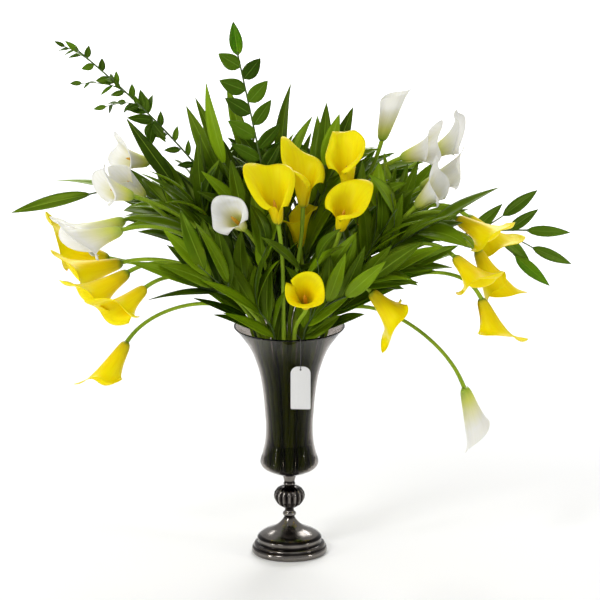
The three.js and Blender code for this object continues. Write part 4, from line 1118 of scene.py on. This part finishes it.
def place_on(line, share):
    """The place at a share of a line's length, and the direction there."""
    lengths = np.linalg.norm(np.diff(line, axis=0), axis=1)
    rest = share * lengths.sum()
    k = 0
    while k < len(lengths) - 1 and rest > lengths[k]:
        rest -= lengths[k]
        k += 1
    direction = unit(line[k + 1] - line[k])
    return line[k] + direction * min(rest, lengths[k]), direction


def leafy_plan(stem):
    waist = polar(stem["ring"], stem["toward"], WAIST_HEIGHT)
    reach = vec(*stem["reach"])
    end_direction = unit(unit(reach - REACH_FROM) + vec(*stem["droop"]))
    end = reach - end_direction * stem["leaf_length"] * LEAF_BEYOND_END
    foot = vec(waist[0], waist[1], STEM_FOOT)
    return dict(foot=foot, waist=waist, end=end, end_direction=end_direction)


def shoot_line(main, start, reach, leaf_length, pieces=3):
    point, direction = place_on(main, start)
    end = reach - unit(reach - point) * leaf_length * LEAF_BEYOND_END
    handle = point + direction * np.linalg.norm(end - point) * SHOOT_HANDLE
    t = (np.arange(pieces + 1) / pieces)[:, None]
    return (1 - t) ** 2 * point + 2 * (1 - t) * t * handle + t**2 * end


def repeatable_run(seed):
    """Numbers between 0 and 1 that are the same on every run."""
    state = seed
    while True:
        state = state * RUN_FACTOR % RUN_LENGTH
        yield state / RUN_LENGTH


def leaf_plan(stem, k, count, run):
    """What the run gives to leaf k of count. The last leaf goes on in the stem's own direction."""
    last, flat = k == count - 1, stem["flat"]
    size = mix(1, SPRAY_END_SIZE, k / count) if flat else mix(*SIZE_RANGE, next(run))
    around = (k % 2) * 180 if flat else k * LEAF_TURN + next(run) * TURN_SCATTER
    angle = LAST_LEAF_ANGLE if last else stem["angle"] * mix(*ANGLE_RANGE, next(run))
    return dict(
        around=around, angle=angle, flat=flat, fan=stem["fan"],
        length=stem["leaf_length"] * (1 if last else size),
        width=stem["leaf_width"] * mix(*WIDTH_RANGE, next(run)),
        arch=mix(LEAST_ARCH, stem["arch"], next(run)) * (SPRAY_ARCH if flat else 1),
        twist=mix(-MOST_TWIST, MOST_TWIST, next(run)) * (SPRAY_TWIST if flat else 1),
    )


def grow_leaves(line, stem, count, start, run, taken, clearance=LEAF_CLEARANCE, end=STEM_END, bounded=False):
    leaves = []
    for k in range(count):
        node = place_on(line, mix(start, end, k / (count - 1)))
        plan = leaf_plan(stem, k, count, run)
        leaf = clear_leaf(plan, node, stem["owner"], taken, clearance, bounded)
        if leaf:
            leaves.append(leaf)
            grown.add(leaf_sheet(leaf), NO_OWNER)
            taken.take(away_from(leaf["base"], leaf_balls(leaf)), clearance, len(leaves))
    return leaves


# %% [markdown]
# ## Leaf finishes
# A leaf is waxy and dark, with a pale midrib and fine veins that run its whole length. Each leaf has its own
# tone, from old and dark to young and bright, and leaves further right are made brighter by their place
# alone.
# The veins read the UV map, so they follow the blade's bend. The highlights are tinted green, because plain
# ones turned the leaves blue-grey.

# %% Leaf materials
def leaf_material(name, dark, bright, rib, gloss):
    material = new_material(
        name, specular_ior_level=0.35, specular_tint=(0.75, 1, 0.15, 1),
        subsurface_weight=0.15, subsurface_radius=(0.4, 1.0, 0.1), subsurface_scale=0.002,
    )
    uv, across, _ = sheet_space(material)
    patches = noise(material, object_space(material), 26.0)
    toned = number(material, "MULTIPLY", vertex_tone(material), 0.8)
    tone_and_patches = number(material, "ADD", toned, number(material, "MULTIPLY", patches, 0.35))
    half_bright = mix(vec(*dark), vec(*bright), 0.45)
    body = ramp(material, tone_and_patches, [(0.2, dark), (0.62, half_bright), (1.0, bright)])
    veins = noise(material, stretched(material, uv, (34, 1.6, 1)), 1.0, 2.0)
    veined = blend(material, 0.5, body, ramp(material, veins, [(0.35, (0.7, 0.74, 0.7)), (0.65, WHITE)]))
    from_middle = number(material, "ABSOLUTE", number(material, "SUBTRACT", across, 0.5))
    rib_line = ramp(material, from_middle, [(0.012, WHITE), (0.035, BLACK)])
    rib_share = number(material, "MULTIPLY", rib_line, 0.55)
    drive(material, "Base Color", blend(material, rib_share, veined, rib, "MIX"))
    drive(material, "Roughness", between(material, patches, gloss - 0.08, gloss + 0.1))
    bump(material, number(material, "SUBTRACT", veins, rib_line), 0.25, 0.5)
    return material


lance_leaf = leaf_material("lance leaf", (0.009, 0.028, 0.001), (0.19, 0.31, 0.004), (0.24, 0.38, 0.03), 0.33)
ruscus_leaf = leaf_material(
    "ruscus leaf", (0.016, 0.045, 0.002), (0.09, 0.18, 0.006), (0.14, 0.24, 0.03), 0.36,
)
twig_green = new_material("twig green", roughness=0.55)
bark = noise(twig_green, stretched(twig_green, object_space(twig_green), (600, 600, 60)), 1.0)
grain(twig_green, bark, (0.3, (0.03, 0.06, 0.01)), (0.7, (0.09, 0.15, 0.025)), 0.3, 0.3)

# %% [markdown]
# ## The leafy stems of the arrangement
# Each row gives the heading and the ring of a stem's foot, where its last leaf should reach, and its shoots:
# where each one leaves the stem and where its last leaf should reach. Two kinds grow here. One has long
# lance-shaped leaves all round, and the other, ruscus, has small leaves in two rows.

# %% List the leafy stems
LEAFY_RINGS = {"middle": 0, "inner": 6, "between": 27, "outer": 32}
LANCE = dict(
    leaf_length=150, leaf_width=28, angle=21, arch=36, fan=0.8, flat=False,
    leaves=9, shoot_leaves=3, start=0.1,
)
RUSCUS = dict(
    leaf_length=62, leaf_width=27, angle=50, arch=36, fan=0, flat=True,
    leaves=11, shoot_leaves=0, start=0.56,
)
FIRST_LEAFY_OWNER = 100
leafy_stems = []


def add_leafy_stem(name, toward, ring, reach, shoots, form, droop=(0, 0, -0.15), **changes):
    leafy_stems.append(dict(
        form, name=name, toward=toward, ring=LEAFY_RINGS[ring], reach=reach, shoots=shoots, droop=droop,
        owner=FIRST_LEAFY_OWNER + len(leafy_stems), **changes,
    ))


add_leafy_stem(
    "leafy_stem_01", 157.5, "outer", (-489, 62, 600), ((0.45, (-350, 100, 680)),), LANCE, leaves=5,
    fan=0, droop=(-0.1, 0, -0.75),
)
add_leafy_stem(
    "leafy_stem_02", 247.5, "outer", (-268, -186, 566),
    ((0.4, (-230, -190, 600)), (0.55, (-150, -180, 640))), LANCE, leaf_width=30,
)
add_leafy_stem(
    "leafy_stem_03", 202.5, "outer", (-303, -10, 780),
    ((0.4, (-330, -80, 700)), (0.6, (-258, -30, 797))), LANCE,
)
add_leafy_stem(
    "leafy_stem_04", 180, "inner", (-175, -20, 850), ((0.4, (-190, 60, 800)), (0.6, (-156, 10, 812))),
    LANCE,
)
add_leafy_stem(
    "leafy_stem_05", 90, "inner", (-24, 40, 850), ((0.35, (-120, 90, 835)), (0.6, (-70, 0, 800))), LANCE,
)
add_leafy_stem(
    "leafy_stem_06", 0, "inner", (100, 0, 851), ((0.35, (104, 90, 800)), (0.6, (40, -10, 780))), LANCE,
    leaf_width=30,
)
add_leafy_stem(
    "leafy_stem_07", 22.5, "between", (361, 20, 710), ((0.4, (300, 110, 740)), (0.6, (334, 0, 684))),
    LANCE,
)
add_leafy_stem(
    "leafy_stem_08", 337.5, "outer", (365, -90, 690), ((0.4, (250, -120, 600)), (0.6, (250, -80, 660))),
    LANCE, leaf_width=30,
)
add_leafy_stem(
    "leafy_stem_09", 292.5, "outer", (170, -190, 545),
    ((0.4, (110, -200, 560)), (0.6, (230, -150, 600))), LANCE, leaf_length=120,
)
add_leafy_stem(
    "leafy_stem_10", 67.5, "outer", (150, 290, 690), ((0.4, (40, 330, 610)), (0.6, (240, 220, 660))),
    LANCE,
)
add_leafy_stem(
    "leafy_stem_11", 112.5, "outer", (-170, 280, 700), ((0.4, (-260, 230, 620)), (0.6, (-60, 300, 720))),
    LANCE,
)
add_leafy_stem("ruscus_spray_01", 270, "inner", (-103, 10, 972), (), RUSCUS)
add_leafy_stem(
    "ruscus_spray_02", 135, "middle", (-400, 60, 930), (), RUSCUS, leaf_length=32, leaf_width=12,
    leaves=18, start=0.5, droop=(-0.6, 0, 0.2),
)
add_leafy_stem(
    "ruscus_spray_03", 22.5, "outer", (512, 150, 554),
    ((0.7, (456, 165, 615)), (0.8, (513, 150, 500)), (0.76, (476, 130, 474))), RUSCUS, leaf_length=88,
    leaf_width=23, leaves=5, shoot_leaves=2, start=0.66, angle=30, droop=(0.4, 0, -0.4),
)
print("leafy stems:", len(leafy_stems))

# %% Find the lines of the leafy stems and their shoots
LEAFY_RADIUS = 2.2
SHOOT_RADIUS = 1.8
for stem in leafy_stems:
    stem["plan"] = leafy_plan(stem)
    line = clear_stem_line(stem["plan"], LEAFY_RADIUS + SEAT_GAP, stem["owner"])
    stem["above"] = line[ARC_START:]
    stem["shoot_lines"] = [
        shoot_line(stem["above"], start, vec(*reach), stem["leaf_length"]) for start, reach in stem["shoots"]
    ]
    room.take(places_along(stem["above"]), LEAFY_RADIUS + SEAT_GAP, stem["owner"])
    for shoot in stem["shoot_lines"]:
        room.take(places_along(shoot), SHOOT_RADIUS, stem["owner"])
print("shoots:", sum(len(stem["shoot_lines"]) for stem in leafy_stems))

# %% Grow the leaves that the CAD model has
CAD_SEED, CAD_SEED_STEP = 101, 17
SHOOT_LEAF_START = 0.25
for index, stem in enumerate(leafy_stems):
    run, taken = repeatable_run(CAD_SEED + CAD_SEED_STEP * index), Room()
    leaves = grow_leaves(stem["above"], stem, stem["leaves"], stem["start"], run, taken)
    for shoot in stem["shoot_lines"]:
        leaves += grow_leaves(shoot, stem, stem["shoot_leaves"], SHOOT_LEAF_START, run, taken)
    for leaf in leaves:
        room.take(leaf_balls(leaf), LEAF_CLEARANCE, stem["owner"])
    stem["grown"] = leaves
print("leaves of the CAD model:", sum(len(stem["grown"]) for stem in leafy_stems))

# %% [markdown]
# ## What the added leaves keep clear of
# The CAD model keeps only the larger leaves. On the real stems there are more, and there are thin side
# shoots too. They grow here by the same rule, between what is already there. They have to keep off the glass
# in the mouth of the vase and off the tag's thread, and they may not cut any bloom, stem or shoot.

# %% Note the glass, the thread, the blooms and the stems
GLASS_OWNER = 900
GUARD_BALL = 4.5
GUARDED_HEIGHT = 350
GUARD_BALLS_AROUND = 120
THREAD_AT_RIM = [vec(12, -73, 424), vec(20, -99, 422)]
TEST_BOWL_STEPS = 48
TEST_SPATHE_ACROSS, TEST_SPATHE_ALONG = 24, 16
TWIG_SIDES = 6
SIDE_SHOOT_RADIUS = 1.2
turns_of_mouth = np.linspace(0, 360, GUARD_BALLS_AROUND, endpoint=False)
for radius, height in inner_wall:
    if height > GUARDED_HEIGHT:
        room.take([polar(radius, degrees, height) for degrees in turns_of_mouth], GUARD_BALL, GLASS_OWNER)
room.take(places_along(THREAD_AT_RIM), GUARD_BALL, GLASS_OWNER)


def bar(line, radius):
    bm = bmesh.new()
    tube(bm, line, radius, TWIG_SIDES)
    return bm


grown.add(spin_profile(bowl_profile, TEST_BOWL_STEPS), NO_OWNER)
for bloom in blooms:
    grown.add(bar(fine_line(bloom["plan"]), CALLA_RADIUS + SWELL), NO_OWNER)
    sheet = bmesh.new()
    add_spathe(sheet, bloom, TEST_SPATHE_ACROSS, TEST_SPATHE_ALONG)
    grown.add(sheet, NO_OWNER)
for stem in leafy_stems:
    grown.add(bar(fine_line(stem["plan"]), LEAFY_RADIUS), stem["owner"])
    for shoot in stem["shoot_lines"]:
        grown.add(bar(shoot, SHOOT_RADIUS), stem["owner"])
print("meshes that a new leaf may not cut:", len(grown.trees))

# %% Add the side shoots
EXTRA_CLEARANCE = 0.9
SHOOT_SEED, SHOOT_SEED_STEP = 7001, 53
SIDE_SHOOTS = 6
SIDE_SHOOT_FIRST, SIDE_SHOOT_LAST = 0.06, 0.72
SIDE_SHOOT_LENGTHS = (120, 230)
SIDE_SHOOT_SPREAD = 1.3
SIDE_SHOOT_BEYOND = 20
TIP_LEAF = 30
SIDE_SHOOT_PIECES = 8
SHOOT_TRIES = 6


def side_shoot(stem, run, start):
    """A thin shoot that leaves the stem outwards, or None where nothing is clear."""
    point, direction = place_on(stem["above"], start)
    lead = unit(direction + unit(point - FAN_CENTRE) * stem["fan"])
    for _ in range(SHOOT_TRIES):
        spread = vec(next(run) - 0.5, next(run) - 0.5, next(run) - 0.4)
        length = mix(*SIDE_SHOOT_LENGTHS, next(run))
        reach = point + unit(lead + spread * SIDE_SHOOT_SPREAD) * length + lead * SIDE_SHOOT_BEYOND
        shoot = shoot_line(stem["above"], start, reach, TIP_LEAF, SIDE_SHOOT_PIECES)
        places = np.array(places_along(shoot))
        clear = room.is_free(places, SIDE_SHOOT_RADIUS + EXTRA_CLEARANCE, stem["owner"])
        if clear and in_outline(places) and not hides_bloom(places, front_blooms):
            if not grown.is_cut_by(bar(shoot[1:], SIDE_SHOOT_RADIUS), stem["owner"]):
                return shoot
    return None


for index, stem in enumerate(leafy_stems):
    stem["side_shoots"] = []
    if stem["flat"]:
        continue
    run = repeatable_run(SHOOT_SEED + SHOOT_SEED_STEP * index)
    for k in range(SIDE_SHOOTS):
        shoot = side_shoot(stem, run, mix(SIDE_SHOOT_FIRST, SIDE_SHOOT_LAST, k / (SIDE_SHOOTS - 1)))
        if shoot is not None:
            stem["side_shoots"].append(shoot)
            room.take(places_along(shoot), SIDE_SHOOT_RADIUS, stem["owner"])
            grown.add(bar(shoot, SIDE_SHOOT_RADIUS), stem["owner"])
print("side shoots:", sum(len(stem["side_shoots"]) for stem in leafy_stems))

# %% [markdown]
# ## The added leaves
# Each lance-leaved stem gets four more rounds of leaves: a collar in the throat of the vase, low leaves that
# arch over its rim, larger leaves along the stem and smaller ones along its shoots. A round gives the line
# to grow on, the kind of leaf, how many, and the shares of the line where they start and end. Each new leaf
# is held against what has grown before.

# %% Add the smaller leaves
EXTRA_SEED, EXTRA_SEED_STEP = 5003, 31
COLLAR_LEAVES, RIM_LEAVES, EXTRA_LEAVES, EXTRA_SHOOT_LEAVES = 9, 10, 22, 7
for index, stem in enumerate(leafy_stems):
    if stem["flat"]:
        continue
    above, length, width = stem["above"], stem["leaf_length"], stem["leaf_width"]
    throat = np.vstack([stem_shoulder(stem["plan"]), above[:2]])
    collar = dict(stem, angle=34, leaf_length=108, leaf_width=24)
    rim_leaf = dict(stem, angle=62, arch=60, leaf_length=95, leaf_width=26)
    larger = dict(stem, arch=80, leaf_length=length * 1.1, leaf_width=width * 1.25)
    smaller = dict(stem, arch=60, leaf_length=length * 0.9)
    rounds = [
        (throat, collar, COLLAR_LEAVES, 0.3, 1),
        (above[:3], rim_leaf, RIM_LEAVES, 0.1, 1),
        (above, larger, EXTRA_LEAVES, 0.04, STEM_END),
    ]
    for shoot in stem["shoot_lines"] + stem["side_shoots"]:
        rounds.append((shoot, smaller, EXTRA_SHOOT_LEAVES, 0.12, STEM_END))
    run, taken = repeatable_run(EXTRA_SEED + EXTRA_SEED_STEP * index), Room()
    for leaf in stem["grown"]:
        taken.take(away_from(leaf["base"], leaf_balls(leaf)), EXTRA_CLEARANCE, 0)
    extra = []
    for line, form, count, start, end in rounds:
        extra += grow_leaves(line, form, count, start, run, taken, EXTRA_CLEARANCE, end, bounded=True)
    for leaf in extra:
        room.take(leaf_balls(leaf), EXTRA_CLEARANCE, stem["owner"])
    stem["grown"] += extra
print("leaves with the added ones:", sum(len(stem["grown"]) for stem in leafy_stems))

# %% [markdown]
# The fine spray at the top left branches into thin twigs. Each row gives where a twig leaves the spray, the
# far tip of its last leaf, and the length of its leaves.

# %% Add the twigs of the fine spray
FINE_TWIGS = [
    (0.74, (-348, 60, 807), 26), (0.81, (-389, 60, 852), 24), (0.95, (-413, 60, 924), 22),
    (0.72, (-271, 60, 835), 40), (0.7, (-229, 55, 817), 46), (0.85, (-332, 60, 861), 24),
]
TWIG_SEED = 9001
TWIG_LEAVES = 6
TWIG_LEAF_START = 0.15
NARROW = 0.38
fine_spray = next(stem for stem in leafy_stems if stem["name"] == "ruscus_spray_02")
run, taken = repeatable_run(TWIG_SEED), Room()
for start, reach, leaf_length in FINE_TWIGS:
    twig = shoot_line(fine_spray["above"], start, vec(*reach), leaf_length, SIDE_SHOOT_PIECES)
    fine_spray["side_shoots"].append(twig)
    small = dict(fine_spray, flat=False, angle=42, leaf_length=leaf_length, leaf_width=leaf_length * NARROW)
    leaves = grow_leaves(twig, small, TWIG_LEAVES, TWIG_LEAF_START, run, taken, EXTRA_CLEARANCE)
    for leaf in leaves:
        room.take(leaf_balls(leaf), EXTRA_CLEARANCE, fine_spray["owner"])
    fine_spray["grown"] += leaves
print("leaves in all:", sum(len(stem["grown"]) for stem in leafy_stems))

# %% [markdown]
# ## Blades and wood
# Each leaf becomes a fine sheet with its thickness, and each stem, shoot and twig a thin tube that tapers.
# One plant is one piece. In the photograph the leaves towards the right are brighter, so the tone of a leaf
# rises with its place.

# %% Shape the greenery
LEAF_THICKNESS = 0.6
FINE_LEAF, COARSE_LEAF = (6, 12), (4, 8)
BRIGHT_SIDE_START, BRIGHT_SIDE_REACH, BRIGHT_SIDE_LIMIT = 40, 300, 0.45
STEM_TONE_STEP = 0.37
STEM_SIDES = 8
FINE_SHOOT_PIECES = 12
LEAFY_TIP_RADIUS, SHOOT_TIP_RADIUS, SIDE_SHOOT_TIP_RADIUS = 1.6, 1.2, 0.8


def leaf_tone(stem, leaf, count):
    # Leaves towards the right are made brighter by their place alone.
    rightward_lift = min(max((leaf["base"][0] - BRIGHT_SIDE_START) / BRIGHT_SIDE_REACH, 0), BRIGHT_SIDE_LIMIT)
    return (count * TONE_STEP + stem["owner"] * STEM_TONE_STEP) % 1 * (1 - rightward_lift) + rightward_lift


def add_blades(bm, stem):
    across, along = COARSE_LEAF if stem["flat"] else FINE_LEAF
    faces = []
    for count, leaf in enumerate(stem["grown"]):
        tone = leaf_tone(stem, leaf, count)
        faces += bend_sheet(bm, across, along, lambda s, t: leaf_places(leaf, t, 2 * s - 1), tone=tone)[1]
    bmesh.ops.solidify(bm, geom=faces, thickness=LEAF_THICKNESS)


def add_wood(bm, line, radius, tip_radius, sides):
    tube(bm, line, np.linspace(radius, tip_radius, len(line)), sides, material_index=1)


for stem in leafy_stems:
    bm = bmesh.new()
    add_blades(bm, stem)
    add_wood(bm, fine_line(stem["plan"]), LEAFY_RADIUS, LEAFY_TIP_RADIUS, STEM_SIDES)
    for start, reach in stem["shoots"]:
        shoot = shoot_line(stem["above"], start, vec(*reach), stem["leaf_length"], FINE_SHOOT_PIECES)
        add_wood(bm, shoot, SHOOT_RADIUS, SHOOT_TIP_RADIUS, STEM_SIDES)
    for shoot in stem["side_shoots"]:
        add_wood(bm, shoot, SIDE_SHOOT_RADIUS, SIDE_SHOOT_TIP_RADIUS, TWIG_SIDES)
    blade, slot = (ruscus_leaf, "ruscus_leaf") if stem["flat"] else (lance_leaf, "leaf")
    name = stem["name"].replace("leafy_stem", "greenery").replace("ruscus_spray", "ruscus")
    finish_piece(name, bm, [blade, twig_green], stem["name"])

# %% [markdown]
# ## The tag
# A blank card hangs in front of the glass. Its outline has round shoulders and a small eye. A boolean could
# cut the eye, but here outline and eye are drawn as flat curves, which Blender fills and thickens, and the
# result is made a mesh. A slight warp keeps it from looking like a tile.

# %% Cut the tag
TAG_PLACE = (20, -102, 374)
TAG_WIDTH, TAG_HEIGHT, TAG_THICKNESS = 35, 78, 0.8
TAG_SHOULDER, TAG_CORNER, TAG_BEVEL = 13, 1.5, 0.15
EYE_RADIUS, EYE_DROP = 1.6, 6
WARP_DEPTH, WARP_WIDTH = 0.9, 9


def arc_points(centre, radius, turns):
    return [(centre[0] + radius * math.cos(turn), centre[1] + radius * math.sin(turn)) for turn in turns]


half = TAG_WIDTH / 2
right_side = [
    (half - TAG_CORNER, -TAG_HEIGHT), (half, -TAG_HEIGHT + TAG_CORNER),
    *arc_points((half - TAG_SHOULDER, -TAG_SHOULDER), TAG_SHOULDER, np.linspace(0, math.pi / 2, 9)),
]
tag_outline = right_side + [(-x, y) for x, y in reversed(right_side)]
eye_outline = arc_points((0, -EYE_DROP), EYE_RADIUS, np.linspace(0, 2 * math.pi, 20, endpoint=False))

card_curve = bpy.data.curves.new("card", "CURVE")
card_curve.dimensions = "2D"
card_curve.fill_mode = "BOTH"
card_curve.extrude = TAG_THICKNESS / 2 - TAG_BEVEL
card_curve.bevel_depth = TAG_BEVEL
card_curve.offset = -TAG_BEVEL
for outline in (tag_outline, eye_outline):
    spline = card_curve.splines.new("POLY")
    spline.points.add(len(outline) - 1)
    spline.use_cyclic_u = True
    for point, (x, y) in zip(spline.points, outline):
        point.co = (x, y, 0, 1)

# %% Hang the tag
card_object = bpy.data.objects.new("card", card_curve)
card = bmesh.new()
card.from_mesh(card_object.to_mesh())
bpy.data.objects.remove(card_object)
bpy.data.curves.remove(card_curve)
bmesh.ops.remove_doubles(card, verts=card.verts, dist=SAME_SPOT)
for vert in card.verts:
    x, y, z = vert.co
    warp = WARP_DEPTH * (y / TAG_HEIGHT) ** 2 * math.sin(x / WARP_WIDTH)
    vert.co = (TAG_PLACE[0] + x, TAG_PLACE[1] - TAG_THICKNESS / 2 - z - warp, TAG_PLACE[2] + y)
bmesh.ops.recalc_face_normals(card, faces=card.faces)

card_white = new_material("card white", roughness=0.65)
fibre = noise(card_white, object_space(card_white), 700.0)
grain(card_white, fibre, (0.3, (0.66, 0.66, 0.65)), (0.7, (0.74, 0.74, 0.73)), 0.2, 0.2)
finish_piece("blank_tag", card, [card_white], "tag")

# %% [markdown]
# ## The thread
# The tag's thread runs from a stem over the rim and down to the eye. It is a tube along a smooth line
# through given places, near those of the CAD thread. A diagonal wave stands for its twist.

# %% Lay the thread
THREAD_RADIUS = 0.6
THREAD_SIDES, THREAD_STEPS = 8, 8
thread_route = [
    (11.8, -73.2, 424), (15.5, -81, 422.8), (19, -90, 421.8), (20, -97.5, 422), (20, -100.4, 419.6),
    (20, -101.4, 412), (20, -103.4, 384), (20, -103.6, 371), (20, -103.2, 368.6), (20, -101.6, 367.6),
    (20, -99.8, 368),
]
thread = bmesh.new()
tube(thread, smooth_through(thread_route, THREAD_STEPS), THREAD_RADIUS, THREAD_SIDES)
thread_grey = new_material("thread grey", roughness=0.8)
wave = {"Vector": object_space(thread_grey), "Scale": 500.0, "Distortion": 2.0}
strands = add_node(thread_grey, "TexWave", wave, bands_direction="DIAGONAL").outputs["Fac"]
grain(thread_grey, strands, (0.2, (0.04, 0.04, 0.035)), (0.8, (0.12, 0.115, 0.1)), 0.5, 0.2)
finish_piece("tag_thread", thread, [thread_grey], "tag_string")

# %% [markdown]
# ## Floor and light
# A pale floor runs far back, so that it fills the picture behind the flowers. The light is a studio's: one
# large soft lamp from the front left and above, a tall strip on each side, one lamp from behind, one over the
# floor at the back, and a bright even surround.

# %% Lay the floor
FLOOR_HALF = 30
floor = bmesh.new()
bmesh.ops.create_grid(floor, x_segments=1, y_segments=1, size=FLOOR_HALF)
floor_mesh = bpy.data.meshes.new("floor")
floor.to_mesh(floor_mesh)
floor.free()
floor_object = bpy.data.objects.new("floor", floor_mesh)
bpy.context.scene.collection.objects.link(floor_object)
pale_floor = new_material(
    "pale floor", base_color=(0.93, 0.93, 0.93, 1), roughness=0.9, specular_ior_level=0.1,
)
floor_mesh.materials.append(pale_floor)

# %% Hang the lamps
MIDDLE = (0, 0, 0.55)
LOWER_MIDDLE = (0, 0, 0.3)
SURROUND = 0.54
LAMPS = [
    ("key lamp", (-2.0, -2.6, 3.0), MIDDLE, 0.9, 0.9, 48),
    ("left strip", (-2.4, -1.3, 0.8), LOWER_MIDDLE, 0.14, 1.4, 14),
    ("right strip", (2.4, -1.0, 0.8), LOWER_MIDDLE, 0.12, 1.2, 10),
    ("back lamp", (0.8, 2.6, 2.8), MIDDLE, 1.4, 1.4, 30),
    ("backdrop lamp", (0, 5.0, 3.4), (0, 5.2, 0), 4.0, 3.0, 260),
]
for name, place, aim, width, height, power in LAMPS:
    data = bpy.data.lights.new(name, "AREA")
    data.shape = "RECTANGLE"
    data.size = width
    data.size_y = height
    data.energy = power
    lamp = bpy.data.objects.new(name, data)
    lamp.location = place
    lamp.rotation_euler = (Vector(place) - Vector(aim)).to_track_quat("Z", "Y").to_euler()
    bpy.context.scene.collection.objects.link(lamp)

world = bpy.data.worlds.new("surround")
world.use_nodes = True
surround = world.node_tree.nodes["Background"]
surround.inputs["Color"].default_value = (1, 1, 1, 1)
surround.inputs["Strength"].default_value = SURROUND
bpy.context.scene.world = world
bpy.context.scene.view_settings.view_transform = "Standard"
print("lamps:", len(LAMPS))
